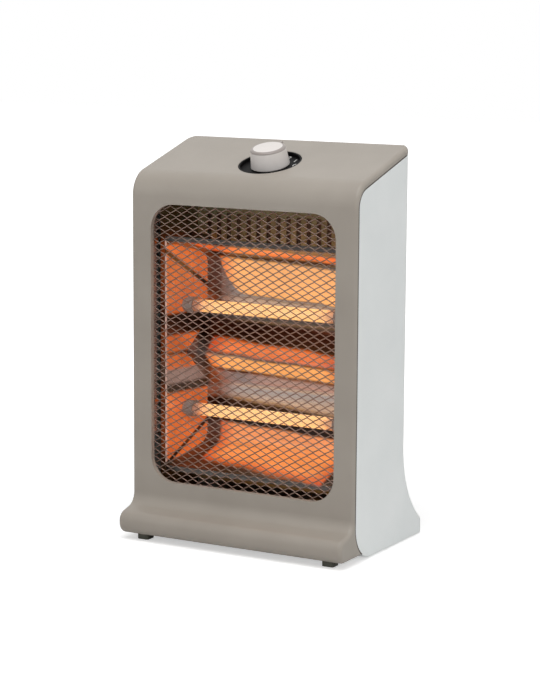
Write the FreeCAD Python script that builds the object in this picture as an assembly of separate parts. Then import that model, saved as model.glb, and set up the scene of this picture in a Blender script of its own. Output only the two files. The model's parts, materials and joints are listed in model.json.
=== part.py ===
import FreeCAD, Part
import math
import os

# Quartz heater: a folded front shell between two side panels, with two quartz tubes in a polished
# reflector behind a diamond mesh. Sizes are in millimetres. +Z is up, +Y is to the back, and the origin
# is on the floor, under the middle of the heater's outline.

# Case
WIDTH = 240.0
BODY_DEPTH = 112.0
TOE_REACH = 26.0
HEEL_REACH = 40.0
TOP_TILT = 16.5
CROWN_HEIGHT = 347.0
CROWN_RADIUS = 24.5
SHELL_WALL = 2.5
REAR_EDGE_RADIUS = 6.0
REAR_LIP = 12.0
UNDERSIDE_HEIGHT = 6.0
TOE_TIP_HEIGHT = 26.0
TOE_TOP_HEIGHT = 33.0
TOE_NOSE_RADIUS = 10.0
TOE_FILLET = 12.0
TOE_RETURN = 10.0
EDGE_RADIUS = 4.0
SIDE_LIP = 6.0
SEAM_GAP = 0.5

# Side panels
PANEL_FLOOR_GAP = 1.5
PANEL_WALL = 2.5
PANEL_DEPTH = 14.0
PANEL_ROUND = 1.5
PANEL_FRONT_RADIUS = 32.0
EDGE_EASE = 0.8
FLARE_HEIGHT = 46.0
FLARE_RADIUS = 100.0
HEEL_TIP_HEIGHT = 15.0
HEEL_RADIUS = 5.8
HEEL_RETURN = 34.0
FIXING_REACH = 15.5
FIXING_WALL = 2.0
FIXING_INSET = 12.0
FIXING_LOW = 130.0
FIXING_DROP = 62.0
FIXING_MARGIN = 30.0
BOSS_RADIUS = 3.5

# Window and grille
WINDOW_BOTTOM = 55.3
WINDOW_DROP = 25.5
WINDOW_RADIUS = 24.0
WINDOW_LIP_DEPTH = 5.0
WINDOW_LIP_WALL = 2.0
MESH_PITCH_X = 26.4
MESH_PITCH_Z = 15.4
MESH_STRAND = 1.9
MESH_SHEET = 0.9
GRILLE_RIM = 3.5
GRILLE_MARGIN = 12.0
GRILLE_SIDE_GAP = 1.75
GRILLE_SCREW_SIDE = 30.25

# Reflector box
REFLECTOR_FRONT = 16.0
REFLECTOR_ROOM = 16.0
REFLECTOR_SIDE = 6.25
REFLECTOR_FLANGE = 5.0
END_SPLAY = 0.2
REFLECTOR_DROP = 37.0
REFLECTOR_RISE = 12.7
FLANK_RISE = 16.5
RIDGE_OFFSET = 3.5
RIDGE_STANDOFF = 30.0
RIDGE_FLANK = 30.0
REFLECTOR_SHEET = 0.6
REFLECTOR_BEND = 12.0
RIDGE_BEND = 3.0
HEM = 3.0
END_SHEET = 0.8
END_MARGIN = 2.0
END_TAB = 9.0

# Tubes
TUBE_STANDOFF = 29.0
UPPER_TUBE_DROP = 63.5
LOWER_TUBE_RISE = 52.0
TUBE_RADIUS = 6.0
TUBE_WALL = 1.0
CAP_BARREL_RADIUS = 8.0
CAP_BARREL_LENGTH = 7.5
CAP_SOCKET_DEPTH = 6.0
CAP_NECK_RADIUS = 6.5
CAP_NECK_LENGTH = 6.0
CAP_TAIL_RADIUS = 4.5
CAP_TAIL_LENGTH = 4.0
CAP_STANDOFF = 2.3
CAP_HOLE_CLEARANCE = 0.2
TUBE_CLEARANCE = 0.15
COIL_RADIUS = 3.4
COIL_COLD_END = 20.0
COIL_TAIL_RADIUS = 0.6
PIN_RADIUS = 1.5
PIN_LENGTH = 6.0

# Chassis and heat shield
UPRIGHT_SHEET = 0.8
UPRIGHT_SIDE = 9.0
UPRIGHT_FRONT = 22.0
UPRIGHT_ROOM = 22.0
UPRIGHT_LIP = 4.0
UPRIGHT_FOOT = 12.0
SHIELD_SHEET = 0.6
SHIELD_SCREW_PLACE = 0.65
SHIELD_BOTTOM = 40.0
SHIELD_DROP = 19.0
SHIELD_FRONT = 25.0
SHIELD_BEND = 6.0
SHIELD_SLOT_DROP = 22.0
SHIELD_SLOT_LENGTH = 32.0
SHIELD_SLOT_WIDTH = 5.0
SHIELD_SLOT_SIDE = 10.25
SHIELD_SLOTS = 17

# Base and feet
BASE_SHEET = 2.0
BASE_SIDE = 16.0
BASE_LAP = 14.0
BASE_SCREW_SIDE = 50.0
FOOT_SIZE = 12.0
FOOT_SIDE = 20.0
FOOT_SETBACK = 18.0
REAR_FOOT_SIDE = 28.0
FOOT_CORNER = 2.0
STUD_RADIUS = 3.0
STUD_CLEARANCE = 0.15
STUD_REACH = 1.5

# Rear cover
VENT_SLOTS = 15
VENT_SIDE = 43.0
VENT_WIDTH = 5.0
VENT_END_ROUND = 0.48
UPPER_VENT_DROP = 1.0
UPPER_VENT_LENGTH = 36.0
LOWER_VENT_LOW = 135.0
LOWER_VENT_HIGH = 175.0
INLET_SIDE = 40.0
INLET_HEIGHT = 113.0
INLET_RADIUS = 6.0
INLET_FLANGE = 2.5
INLET_BORE = 3.6
INLET_COLLAR = 2.0

# Dial and switch, in distances along the sloping top's normal
DIAL_DEPTH = 48.0
DIAL_SIDE = 3.0
DISH_RADIUS = 30.2
DISH_RECESS = 3.5
DISH_FLOOR = 2.0
DISH_WALL = 1.5
DISH_FLANGE = 1.6
DISH_CLEARANCE = 0.2
KNOB_BASE_RADIUS = 18.5
KNOB_TOP_RADIUS = 16.5
KNOB_HEIGHT = 19.0
KNOB_DOME = 1.2
KNOB_EDGE = 2.5
KNOB_WALL = 2.2
KNOB_GAP = 0.6
KNOB_HUB_RADIUS = 5.5
KNOB_POINTER = 70.0
POINTER_WIDTH = 3.0
POINTER_REACH = 1.2
SHAFT_RADIUS = 3.0
SHAFT_GRIP = 9.0
SHAFT_FLAT = 0.8
SHAFT_CLEARANCE = 0.06
BUSH_RADIUS = 5.0
BUSH_CLEARANCE = 0.15
BUSH_PROUD = 3.0
NUT_HEIGHT = 2.5
NUT_FLATS = 13.0
SWITCH_SIDE = 28.0
SWITCH_HEIGHT = 20.0
SWITCH_SHAFT_DEPTH = 12.0
BLADE_WIDTH = 6.3
BLADE_SHEET = 0.8
BLADE_REACH = 6.0
BLADE_SPACING = 9.0

# Tip-over switch, terminal block and thermal cut-out
TIP_X = 40.0
TIP_Y = 15.0
TIP_SIDE = 20.0
TIP_HEIGHT = 26.0
TIP_BORE = 6.4
TIP_ROOF = 4.0
TIP_TRAVEL = 5.0
PLUNGER_RADIUS = 4.0
PLUNGER_FLANGE = 6.0
PLUNGER_FLANGE_THICKNESS = 2.0
PLUNGER_GUIDE_RADIUS = 2.0
PLUNGER_GUIDE_LENGTH = 8.0
PLUNGER_HOLE_CLEARANCE = 0.4
SPRING_RADIUS = 4.0
SPRING_WIRE = 0.5
SPRING_TURNS = 5
SPRING_SEAT_GAP = 0.2
BLOCK_X = -45.0
BLOCK_Y = 15.0
BLOCK_LENGTH = 42.0
BLOCK_WIDTH = 18.0
BLOCK_HEIGHT = 15.0
BLOCK_WAYS = 3
CUTOUT_X = 30.0
CUTOUT_HEIGHT = 215.0
CUTOUT_RADIUS = 8.5
CUTOUT_BODY = 7.0
CUTOUT_FLANGE_RADIUS = 11.0
CUTOUT_FLANGE = 1.2

# Screws
SCREW_RADIUS = 1.5
SCREW_HEAD_RADIUS = 3.0
SCREW_HEAD = 2.0
SCREW_BITE = 7.0
SCREW_CLEARANCE = 0.1

# Places worked out from the sizes above
V = FreeCAD.Vector
TILT = math.radians(TOP_TILT)
DEPTH = TOE_REACH + BODY_DEPTH + HEEL_REACH
NOSE_Y = -DEPTH / 2
FACE_Y = NOSE_Y + TOE_REACH
BACK_Y = FACE_Y + BODY_DEPTH
HEEL_Y = BACK_Y + HEEL_REACH
HALF = WIDTH / 2
PANEL_INSET = SHELL_WALL + SEAM_GAP
PANEL_RIM_X = HALF - PANEL_DEPTH
FIXING_X = PANEL_RIM_X - SEAM_GAP
WINDOW_WIDTH = 2 * (FIXING_X - FIXING_WALL - GRILLE_SIDE_GAP - GRILLE_RIM)
GRILLE_SCREW_X = WINDOW_WIDTH / 2 - GRILLE_SCREW_SIDE
REFLECTOR_HALF_FRONT = WINDOW_WIDTH / 2 - REFLECTOR_SIDE
UPRIGHT_HALF = REFLECTOR_HALF_FRONT + UPRIGHT_SIDE
SHIELD_SLOT_PITCH = (WINDOW_WIDTH - 2 * SHIELD_SLOT_SIDE) / (SHIELD_SLOTS - 1)
VENT_PITCH = (WIDTH - 2 * VENT_SIDE) / (VENT_SLOTS - 1)
BASE_HALF = HALF - BASE_SIDE
BASE_SCREW_X = HALF - BASE_SCREW_SIDE
FOOT_X = HALF - FOOT_SIDE
REAR_FOOT_X = HALF - REAR_FOOT_SIDE
INLET_X = INLET_SIDE - HALF
BASE_Z = UNDERSIDE_HEIGHT + SHELL_WALL
BASE_TOP = BASE_Z + BASE_SHEET
WINDOW_TOP = CROWN_HEIGHT - WINDOW_DROP
FIXING_HIGH = CROWN_HEIGHT - FIXING_DROP
SHIELD_TOP = CROWN_HEIGHT - SHIELD_DROP
SHIELD_SLOT_HIGH = SHIELD_TOP - SHIELD_SLOT_DROP
SHIELD_SLOT_LOW = SHIELD_SLOT_HIGH - SHIELD_SLOT_LENGTH
UPPER_VENT_HIGH = CROWN_HEIGHT - UPPER_VENT_DROP
UPPER_VENT_LOW = UPPER_VENT_HIGH - UPPER_VENT_LENGTH
UPRIGHT_BACK = BODY_DEPTH - UPRIGHT_ROOM
REFLECTOR_BACK = UPRIGHT_BACK - REFLECTOR_ROOM
REFLECTOR_TOP = WINDOW_TOP - REFLECTOR_DROP
REFLECTOR_BOTTOM = WINDOW_BOTTOM + REFLECTOR_RISE
TUBE_DEPTH = REFLECTOR_BACK - TUBE_STANDOFF
RIDGE_DEPTH = REFLECTOR_BACK - RIDGE_STANDOFF
LOWER_TUBE = REFLECTOR_BOTTOM + LOWER_TUBE_RISE
UPPER_TUBE = REFLECTOR_TOP - UPPER_TUBE_DROP
LEVELS = (("lower", LOWER_TUBE), ("upper", UPPER_TUBE))
TUBE_SPACING = UPPER_TUBE - LOWER_TUBE
RIDGE_HEIGHT = LOWER_TUBE + TUBE_SPACING / 2 + RIDGE_OFFSET


def top_z(y):
    """Height of the sloping top's outer face at depth y."""
    return CROWN_HEIGHT + (y - FACE_Y) * math.tan(TILT)


def corner_arc(start, corner, end):
    """Arc that leaves the line from start to corner and joins the line from corner to end."""
    to_start = start - corner
    to_end = end - corner
    half_angle = to_start.getAngle(to_end) / 2
    radius = to_start.Length * math.tan(half_angle)
    inward = (to_start + to_end).normalize()
    middle = corner + inward * (radius / math.sin(half_angle) - radius)
    return Part.Arc(start, middle, end).toShape()


def rounded_edges(points, radii, closed):
    """Straight edges and tangent arcs through points, each corner rounded by its radius."""
    count = len(points)
    corners = range(count) if closed else range(1, count - 1)
    sides = range(count) if closed else range(count - 1)
    reach = [0.0] * count
    ends = [(point, point) for point in points]
    for i in corners:
        angle = (points[i - 1] - points[i]).getAngle(points[(i + 1) % count] - points[i])
        reach[i] = radii[i] / math.tan(angle / 2)
    for i in sides:
        after = (i + 1) % count
        room = (points[after] - points[i]).Length * 0.98
        used = reach[i] + reach[after]
        if used > room:
            reach[i] *= room / used
            reach[after] *= room / used
    edges = []
    for i in corners:
        if reach[i] > 0:
            start = points[i] + (points[i - 1] - points[i]).normalize() * reach[i]
            end = points[i] + (points[(i + 1) % count] - points[i]).normalize() * reach[i]
            ends[i] = (start, end)
    for i in range(count):
        if reach[i] > 0:
            edges.append(corner_arc(ends[i][0], points[i], ends[i][1]))
        if i in sides:
            edges.append(Part.makeLine(ends[i][1], ends[(i + 1) % count][0]))
    return edges


def in_yz(x):
    """Places outline points (y, z) on the plane at x."""
    return lambda y, z: V(x, y, z)


def in_xz(y):
    """Places outline points (x, z) on the plane at y."""
    return lambda x, z: V(x, y, z)


def in_xy(z):
    """Places outline points (x, y) on the plane at z."""
    return lambda x, y: V(x, y, z)


def outline_face(corners, place):
    """Face inside a closed outline of (u, v, radius) corners."""
    points = [place(u, v) for u, v, radius in corners]
    radii = [radius for u, v, radius in corners]
    return Part.Face(Part.Wire(rounded_edges(points, radii, True)))


def shifted(path, wall, closed=False):
    """Outline of (u, v, radius) corners moved sideways, to the right of its direction."""
    lines = []
    ring = path + path[:1] if closed else path
    for (u, v, radius), (u2, v2, radius2) in zip(ring, ring[1:]):
        length = math.hypot(u2 - u, v2 - v)
        du, dv = (u2 - u) / length, (v2 - v) / length
        lines.append((u + dv * wall, v - du * wall, du, dv))
    moved = []
    for i in range(0 if closed else 1, len(path) if closed else len(path) - 1):
        u1, v1, du1, dv1 = lines[i - 1]
        u2, v2, du2, dv2 = lines[i]
        turn = du1 * dv2 - dv1 * du2
        along = ((u2 - u1) * dv2 - (v2 - v1) * du2) / turn
        radius = max(path[i][2] + wall * math.copysign(1.0, turn), 0.2)
        moved.append((u1 + du1 * along, v1 + dv1 * along, radius))
    if closed:
        return moved
    u, v, du, dv = lines[-1]
    length = math.hypot(path[-1][0] - path[-2][0], path[-1][1] - path[-2][1])
    return [(lines[0][0], lines[0][1], 0.0)] + moved + [(u + du * length, v + dv * length, 0.0)]


def band_face(path, wall, place):
    """Face of a bent wall whose one side follows the path."""
    other = shifted(path, wall)
    other.reverse()
    edges = []
    for side in (path, other):
        points = [place(u, v) for u, v, radius in side]
        radii = [radius for u, v, radius in side]
        edges.append(rounded_edges(points, radii, False))
    there = Part.makeLine(place(*path[-1][:2]), place(*other[0][:2]))
    back = Part.makeLine(place(*other[-1][:2]), place(*path[0][:2]))
    return Part.Face(Part.Wire(edges[0] + [there] + edges[1] + [back]))


def prism(corners, x0, x1):
    """Solid with the same (y, z, radius) outline from one x to another."""
    return outline_face(corners, in_yz(x0)).extrude(V(x1 - x0, 0, 0))


def end_edges(solid, x):
    """Edges of a solid that lie on the plane at x."""
    return [edge for edge in solid.Edges if all(abs(v.X - x) < SCREW_CLEARANCE for v in edge.Vertexes)]


def block(x0, x1, y0, y1, z0, z1):
    """Box between two corners."""
    return Part.makeBox(x1 - x0, y1 - y0, z1 - z0, V(x0, y0, z0))


def rod(radius, start, end):
    """Cylinder between two points."""
    return Part.makeCylinder(radius, (end - start).Length, start, end - start)


def fused(shapes):
    """One solid from shapes that meet."""
    return shapes[0].multiFuse(shapes[1:]).removeSplitter()


def screw(seat, inward, shank):
    """Screw whose head lies on the seat and whose shank goes inward."""
    direction = V(inward).normalize()
    head = rod(SCREW_HEAD_RADIUS, seat - direction * SCREW_HEAD, seat)
    return fused([head, rod(SCREW_RADIUS, seat, seat + direction * shank)])


def screw_hole(seat, inward, length):
    """Clearance hole for a screw."""
    return rod(SCREW_RADIUS + SCREW_CLEARANCE, seat, seat + V(inward).normalize() * length)


def mirrored(shape):
    """Copy on the other side of the middle plane."""
    return shape.mirror(V(0, 0, 0), V(1, 0, 0))


def on_dial(shape):
    """Moves a shape made on the Z axis to the dial, with Z along the top's normal."""
    place = V(DIAL_SIDE, FACE_Y + DIAL_DEPTH, top_z(FACE_Y + DIAL_DEPTH))
    shape.Placement = FreeCAD.Placement(place, FreeCAD.Rotation(V(1, 0, 0), TOP_TILT))
    return shape


def turned(corners):
    """Solid turned round the Z axis from an outline of (distance, height, radius) corners."""
    face = outline_face(corners, in_xz(0.0))
    return face.revolve(V(0, 0, 0), V(0, 0, 1), 360)


NODES = {}

# Outlines that several pieces share
REAR_TOP = top_z(BACK_Y)
SHELL_PATH = [
    (FACE_Y + TOE_RETURN, UNDERSIDE_HEIGHT, 0.0),
    (NOSE_Y, UNDERSIDE_HEIGHT, TOE_NOSE_RADIUS),
    (NOSE_Y, TOE_TIP_HEIGHT, TOE_NOSE_RADIUS),
    (FACE_Y, TOE_TOP_HEIGHT, TOE_FILLET),
    (FACE_Y, CROWN_HEIGHT, CROWN_RADIUS),
    (BACK_Y, REAR_TOP, REAR_EDGE_RADIUS),
    (BACK_Y, REAR_TOP - REAR_LIP, 0.0),
]
REAR_PATH = [
    (BACK_Y, REAR_TOP - REAR_LIP - SEAM_GAP, 0.0),
    (BACK_Y, FLARE_HEIGHT, FLARE_RADIUS),
    (HEEL_Y, HEEL_TIP_HEIGHT, HEEL_RADIUS),
    (HEEL_Y, UNDERSIDE_HEIGHT, HEEL_RADIUS),
    (HEEL_Y - HEEL_RETURN, UNDERSIDE_HEIGHT, 0.0),
]


PANEL_FRONT_Y = FACE_Y + PANEL_INSET
PANEL_DROP = (SIDE_LIP + SEAM_GAP) / math.cos(TILT)
PANEL_OUTLINE = [
    (PANEL_FRONT_Y, PANEL_FLOOR_GAP, PANEL_FRONT_RADIUS),
    (PANEL_FRONT_Y, top_z(PANEL_FRONT_Y) - PANEL_DROP, CROWN_RADIUS - SIDE_LIP),
    (BACK_Y, REAR_TOP - PANEL_DROP, PANEL_ROUND),
    (BACK_Y, FLARE_HEIGHT, FLARE_RADIUS),
    (HEEL_Y, HEEL_TIP_HEIGHT, HEEL_RADIUS),
    (HEEL_Y, PANEL_FLOOR_GAP, HEEL_RADIUS),
]


def rear_round(corners, x_out):
    """What comes off a right side panel with this outline to round its rear edge in plan."""
    start = V(x_out, corners[2][0], corners[2][1] + PANEL_DEPTH)
    end = V(x_out, corners[4][0], corners[5][1] - PANEL_DEPTH)
    points = [start, V(x_out, *corners[3][:2]), V(x_out, *corners[4][:2]), end]
    spine = Part.Wire(rounded_edges(points, [0.0, corners[3][2], corners[4][2], 0.0], False))
    # The round starts a little outside the two faces, so that it crosses them at a small angle.
    inward = x_out - PANEL_RIM_X + EDGE_EASE
    radius = inward + EDGE_EASE / 6
    centre = start - V(inward, inward, 0)
    ring = []
    for angle in (100, 45, -10):
        turn = math.radians(angle)
        ring.append(centre + V(radius * math.cos(turn), radius * math.sin(turn), 0))
    far = 2 * EDGE_EASE
    outside = [ring[2], V(x_out + far, ring[2].y, start.z), start + V(far, far, 0)]
    outside += [V(ring[0].x, start.y + far, start.z), ring[0]]
    lines = [Part.makeLine(p, q) for p, q in zip(outside, outside[1:])]
    sweep = Part.BRepOffsetAPI.MakePipeShell(spine)
    sweep.setTrihedronMode(V(0, 0, 0), V(0, 0, 1))
    sweep.add(Part.Wire([Part.Arc(*ring).toShape()] + lines))
    sweep.build()
    sweep.makeSolid()
    return sweep.shape()


def toe_outline(reach):
    """Outline of the toe, filled back and up to a distance from the face."""
    return SHELL_PATH[1:4] + [
        (FACE_Y, TOE_TOP_HEIGHT + reach, 0.0),
        (FACE_Y + reach, TOE_TOP_HEIGHT + reach, 0.0),
        (FACE_Y + reach, UNDERSIDE_HEIGHT, 0.0),
    ]


def softened_body():
    """The case's upper body with a rounded rear and softened edges, as a full solid."""
    profile = [
        (FACE_Y, 0.0, 0.0),
        (FACE_Y, CROWN_HEIGHT, CROWN_RADIUS),
        (BACK_Y, REAR_TOP, 0.0),
        (BACK_Y, 0.0, 0.0),
    ]
    body = prism(profile, -HALF, HALF)
    round_start = BACK_Y - PANEL_DEPTH
    upright = []
    for edge in end_edges(body, HALF) + end_edges(body, -HALF):
        if all(vertex.Y > round_start for vertex in edge.Vertexes):
            upright.append(edge)
    body = body.makeFillet(PANEL_DEPTH, upright)
    outer = []
    for edge in body.Edges:
        spots = edge.Vertexes
        at_side = all(abs(abs(spot.X) - HALF) < SCREW_CLEARANCE for spot in spots)
        before_round = any(spot.Y < round_start - SCREW_CLEARANCE for spot in spots)
        above_floor = any(spot.Z > CROWN_RADIUS for spot in spots)
        rear_top = all(spot.Z > CROWN_HEIGHT and spot.Y > round_start - SCREW_CLEARANCE for spot in spots)
        if (at_side and before_round and above_floor) or rear_top:
            outer.append(edge)
    return body.makeFillet(EDGE_RADIUS, outer)


# Front shell: front and sloping top in one sheet that laps over the sides, with a closed toe
upper_body = softened_body()
sheet = band_face(SHELL_PATH[3:], SHELL_WALL, in_yz(-HALF)).extrude(V(WIDTH, 0, 0))
lap = [
    (FACE_Y, CROWN_HEIGHT - 2 * CROWN_RADIUS, 0.0),
    (FACE_Y, CROWN_HEIGHT, CROWN_RADIUS),
    (BACK_Y, REAR_TOP, REAR_EDGE_RADIUS),
    (BACK_Y, REAR_TOP - REAR_LIP, 0.0),
]
lap = prism(lap, PANEL_RIM_X, HALF)
sheet = fused([sheet, lap, mirrored(lap)]).common(upper_body)
toe = prism(toe_outline(PANEL_FRONT_RADIUS), -HALF, HALF)
toe = toe.makeFillet(EDGE_RADIUS, end_edges(toe, HALF) + end_edges(toe, -HALF))
end_wall = HALF - SHELL_WALL
toe_inside = shifted(toe_outline(2 * PANEL_FRONT_RADIUS), SHELL_WALL, True)
toe = toe.cut(prism(toe_inside, -end_wall, end_wall))
toe = toe.cut(block(-end_wall, end_wall, FACE_Y + TOE_RETURN, HEEL_Y, 0, BASE_Z))
window = [
    (-WINDOW_WIDTH / 2, WINDOW_BOTTOM, WINDOW_RADIUS),
    (-WINDOW_WIDTH / 2, WINDOW_TOP, WINDOW_RADIUS),
    (WINDOW_WIDTH / 2, WINDOW_TOP, WINDOW_RADIUS),
    (WINDOW_WIDTH / 2, WINDOW_BOTTOM, WINDOW_RADIUS),
]
inside_face = FACE_Y + SHELL_WALL / 2
lip = outline_face(shifted(window, -WINDOW_LIP_WALL, True), in_xz(inside_face))
lip = lip.extrude(V(0, FACE_Y + WINDOW_LIP_DEPTH - inside_face, 0))
GRILLE_Y = FACE_Y + WINDOW_LIP_DEPTH
GRILLE_SCREWS = []
grille_screw_out = (GRILLE_MARGIN + WINDOW_LIP_WALL) / 2
for z in (WINDOW_BOTTOM - grille_screw_out, WINDOW_TOP + grille_screw_out):
    for x in (-GRILLE_SCREW_X, 0.0, GRILLE_SCREW_X):
        GRILLE_SCREWS.append(V(x, GRILLE_Y, z))
shell = fused([sheet, toe, lip])
panel_room = prism(shifted(PANEL_OUTLINE, -SEAM_GAP, True), FIXING_X, WIDTH)
shell = shell.cut(panel_room).cut(mirrored(panel_room))
FIXINGS = [FIXING_LOW, FIXING_HIGH]
FRONT_FIXING_Y = FACE_Y + SHELL_WALL + FIXING_INSET
REAR_FIXING_Y = BACK_Y - SHELL_WALL - FIXING_INSET
rib = block(
    FIXING_X - FIXING_WALL, FIXING_X,
    inside_face, FACE_Y + SHELL_WALL + FIXING_REACH,
    FIXING_LOW - FIXING_MARGIN, FIXING_HIGH + FIXING_MARGIN,
)
posts = [rod(BOSS_RADIUS, V(spot.x, inside_face, spot.z), spot) for spot in GRILLE_SCREWS]
shell = fused([shell, rib, mirrored(rib)] + posts)
shell = shell.cut(outline_face(window, in_xz(FACE_Y - 1)).extrude(V(0, 2 * WINDOW_LIP_DEPTH, 0)))
for z in FIXINGS:
    hole = screw_hole(V(FIXING_X - 2 * FIXING_WALL, FRONT_FIXING_Y, z), V(1, 0, 0), 3 * FIXING_WALL)
    shell = shell.cut(hole).cut(mirrored(hole))
for spot in GRILLE_SCREWS:
    shell = shell.cut(screw_hole(spot, V(0, -1, 0), WINDOW_LIP_DEPTH - SHELL_WALL / 2))
shell = shell.cut(on_dial(Part.makeCylinder(DISH_RADIUS, 4 * SHELL_WALL, V(0, 0, -2 * SHELL_WALL))))
FOOT_SPOTS = [
    ("front_left", V(-FOOT_X, NOSE_Y + FOOT_SETBACK, 0)),
    ("front_right", V(FOOT_X, NOSE_Y + FOOT_SETBACK, 0)),
    ("rear_left", V(-REAR_FOOT_X, HEEL_Y - FOOT_SETBACK, 0)),
    ("rear_right", V(REAR_FOOT_X, HEEL_Y - FOOT_SETBACK, 0)),
]
STUD_TOP = BASE_TOP + STUD_REACH
stud_hole = STUD_RADIUS + STUD_CLEARANCE
stud_holes = [rod(stud_hole, spot, spot + V(0, 0, STUD_TOP)) for name, spot in FOOT_SPOTS]
BASE_SCREWS = []
for y in (FACE_Y, HEEL_Y - HEEL_RETURN + TOE_RETURN / 2):
    for x in (-BASE_SCREW_X, BASE_SCREW_X):
        BASE_SCREWS.append(V(x, y, UNDERSIDE_HEIGHT))
base_screw_holes = [screw_hole(spot, V(0, 0, 1), STUD_TOP) for spot in BASE_SCREWS]
shell = shell.cut(stud_holes[:2] + base_screw_holes[:2])
NODES["front_shell"] = shell

# Side panels: shallow trays, with bosses for the screws from the shell and the rear cover
panel = prism(PANEL_OUTLINE, PANEL_RIM_X, HALF)
panel = panel.makeFillet(PANEL_ROUND, end_edges(panel, HALF))
panel = panel.cut(rear_round(PANEL_OUTLINE, HALF))
inside = shifted(PANEL_OUTLINE, PANEL_WALL, True)
hollow = prism(inside, PANEL_RIM_X, HALF - PANEL_WALL)
panel = panel.cut(hollow.cut(rear_round(inside, HALF - PANEL_WALL)))
bosses = []
pilots = []
for y in (FRONT_FIXING_Y, REAR_FIXING_Y):
    for z in FIXINGS:
        bosses.append(rod(BOSS_RADIUS, V(FIXING_X, y, z), V(HALF - PANEL_WALL / 2, y, z)))
        pilots.append(screw_hole(V(FIXING_X, y, z), V(1, 0, 0), SCREW_BITE + SEAM_GAP))
panel = fused([panel] + bosses).cut(pilots)
NODES["side_panel_right"] = panel
NODES["side_panel_left"] = mirrored(panel)

# Rear cover: flat back that flares out to the heel, with two rows of vents
cover = band_face(REAR_PATH, SHELL_WALL, in_yz(-FIXING_X)).extrude(V(2 * FIXING_X, 0, 0))
flange = block(
    FIXING_X - FIXING_WALL, FIXING_X,
    BACK_Y - SHELL_WALL - FIXING_REACH, BACK_Y - SHELL_WALL / 2,
    FIXING_LOW - FIXING_MARGIN, FIXING_HIGH + FIXING_MARGIN,
)
cover = fused([cover, flange, mirrored(flange)])
cuts = []
for z in FIXINGS:
    hole = screw_hole(V(FIXING_X - 2 * FIXING_WALL, REAR_FIXING_Y, z), V(1, 0, 0), 3 * FIXING_WALL)
    cuts += [hole, mirrored(hole)]
for low, high in ((UPPER_VENT_LOW, UPPER_VENT_HIGH), (LOWER_VENT_LOW, LOWER_VENT_HIGH)):
    for i in range(VENT_SLOTS):
        x = (i - (VENT_SLOTS - 1) / 2) * VENT_PITCH
        slot = [
            (x - VENT_WIDTH / 2, low, VENT_WIDTH * VENT_END_ROUND),
            (x - VENT_WIDTH / 2, high, VENT_WIDTH * VENT_END_ROUND),
            (x + VENT_WIDTH / 2, high, VENT_WIDTH * VENT_END_ROUND),
            (x + VENT_WIDTH / 2, low, VENT_WIDTH * VENT_END_ROUND),
        ]
        cuts.append(outline_face(slot, in_xz(BACK_Y - 2 * SHELL_WALL)).extrude(V(0, 3 * SHELL_WALL, 0)))
INLET = V(INLET_X, BACK_Y, INLET_HEIGHT)
cuts.append(rod(INLET_RADIUS + DISH_CLEARANCE, INLET - V(0, 2 * SHELL_WALL, 0), INLET + V(0, 1, 0)))
NODES["rear_cover"] = cover.cut(cuts + stud_holes[2:] + base_screw_holes[2:])

# Cord inlet bush: clipped in the rear cover, open for the cord
inlet_wall = INLET - V(0, SHELL_WALL, 0)
inlet_end = inlet_wall - V(0, INLET_COLLAR, 0)
bush = fused([
    rod(INLET_RADIUS + INLET_FLANGE, INLET, INLET + V(0, INLET_COLLAR, 0)),
    rod(INLET_RADIUS, inlet_end, INLET),
    rod(INLET_RADIUS + INLET_FLANGE / 2, inlet_end, inlet_wall),
])
cord_way = rod(INLET_BORE, INLET - V(0, 2 * REAR_LIP, 0), INLET + V(0, REAR_LIP, 0))
NODES["cord_inlet_bush"] = bush.cut(cord_way)

# Base plate: lies on the returns of the shell and the rear cover
base = block(-BASE_HALF, BASE_HALF, NOSE_Y + BASE_LAP, HEEL_Y - BASE_LAP, BASE_Z, BASE_TOP)
TIP = V(TIP_X, TIP_Y, 0)
plunger_hole = rod(PLUNGER_RADIUS + PLUNGER_HOLE_CLEARANCE, TIP, TIP + V(0, 0, 2 * BASE_TOP))
CHASSIS_SCREWS = []
for y in (FACE_Y + UPRIGHT_FRONT + UPRIGHT_FOOT, FACE_Y + UPRIGHT_BACK - UPRIGHT_FOOT):
    for side in (-1, 1):
        CHASSIS_SCREWS.append(V(side * (UPRIGHT_HALF - UPRIGHT_FOOT / 2), y, BASE_TOP + UPRIGHT_SHEET))
chassis_holes = [screw_hole(spot, V(0, 0, -1), SCREW_BITE) for spot in CHASSIS_SCREWS]
NODES["base_plate"] = base.cut(stud_holes + base_screw_holes + chassis_holes + [plunger_hole])

# Feet: rubber blocks with a stud through the underside
for name, spot in FOOT_SPOTS:
    pad = [
        (spot.x - FOOT_SIZE / 2, spot.y - FOOT_SIZE / 2, FOOT_CORNER),
        (spot.x + FOOT_SIZE / 2, spot.y - FOOT_SIZE / 2, FOOT_CORNER),
        (spot.x + FOOT_SIZE / 2, spot.y + FOOT_SIZE / 2, FOOT_CORNER),
        (spot.x - FOOT_SIZE / 2, spot.y + FOOT_SIZE / 2, FOOT_CORNER),
    ]
    foot = outline_face(pad, in_xy(0.0)).extrude(V(0, 0, UNDERSIDE_HEIGHT))
    stud = rod(STUD_RADIUS, spot + V(0, 0, UNDERSIDE_HEIGHT / 2), spot + V(0, 0, STUD_TOP))
    NODES["foot_" + name] = fused([foot, stud])

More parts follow.
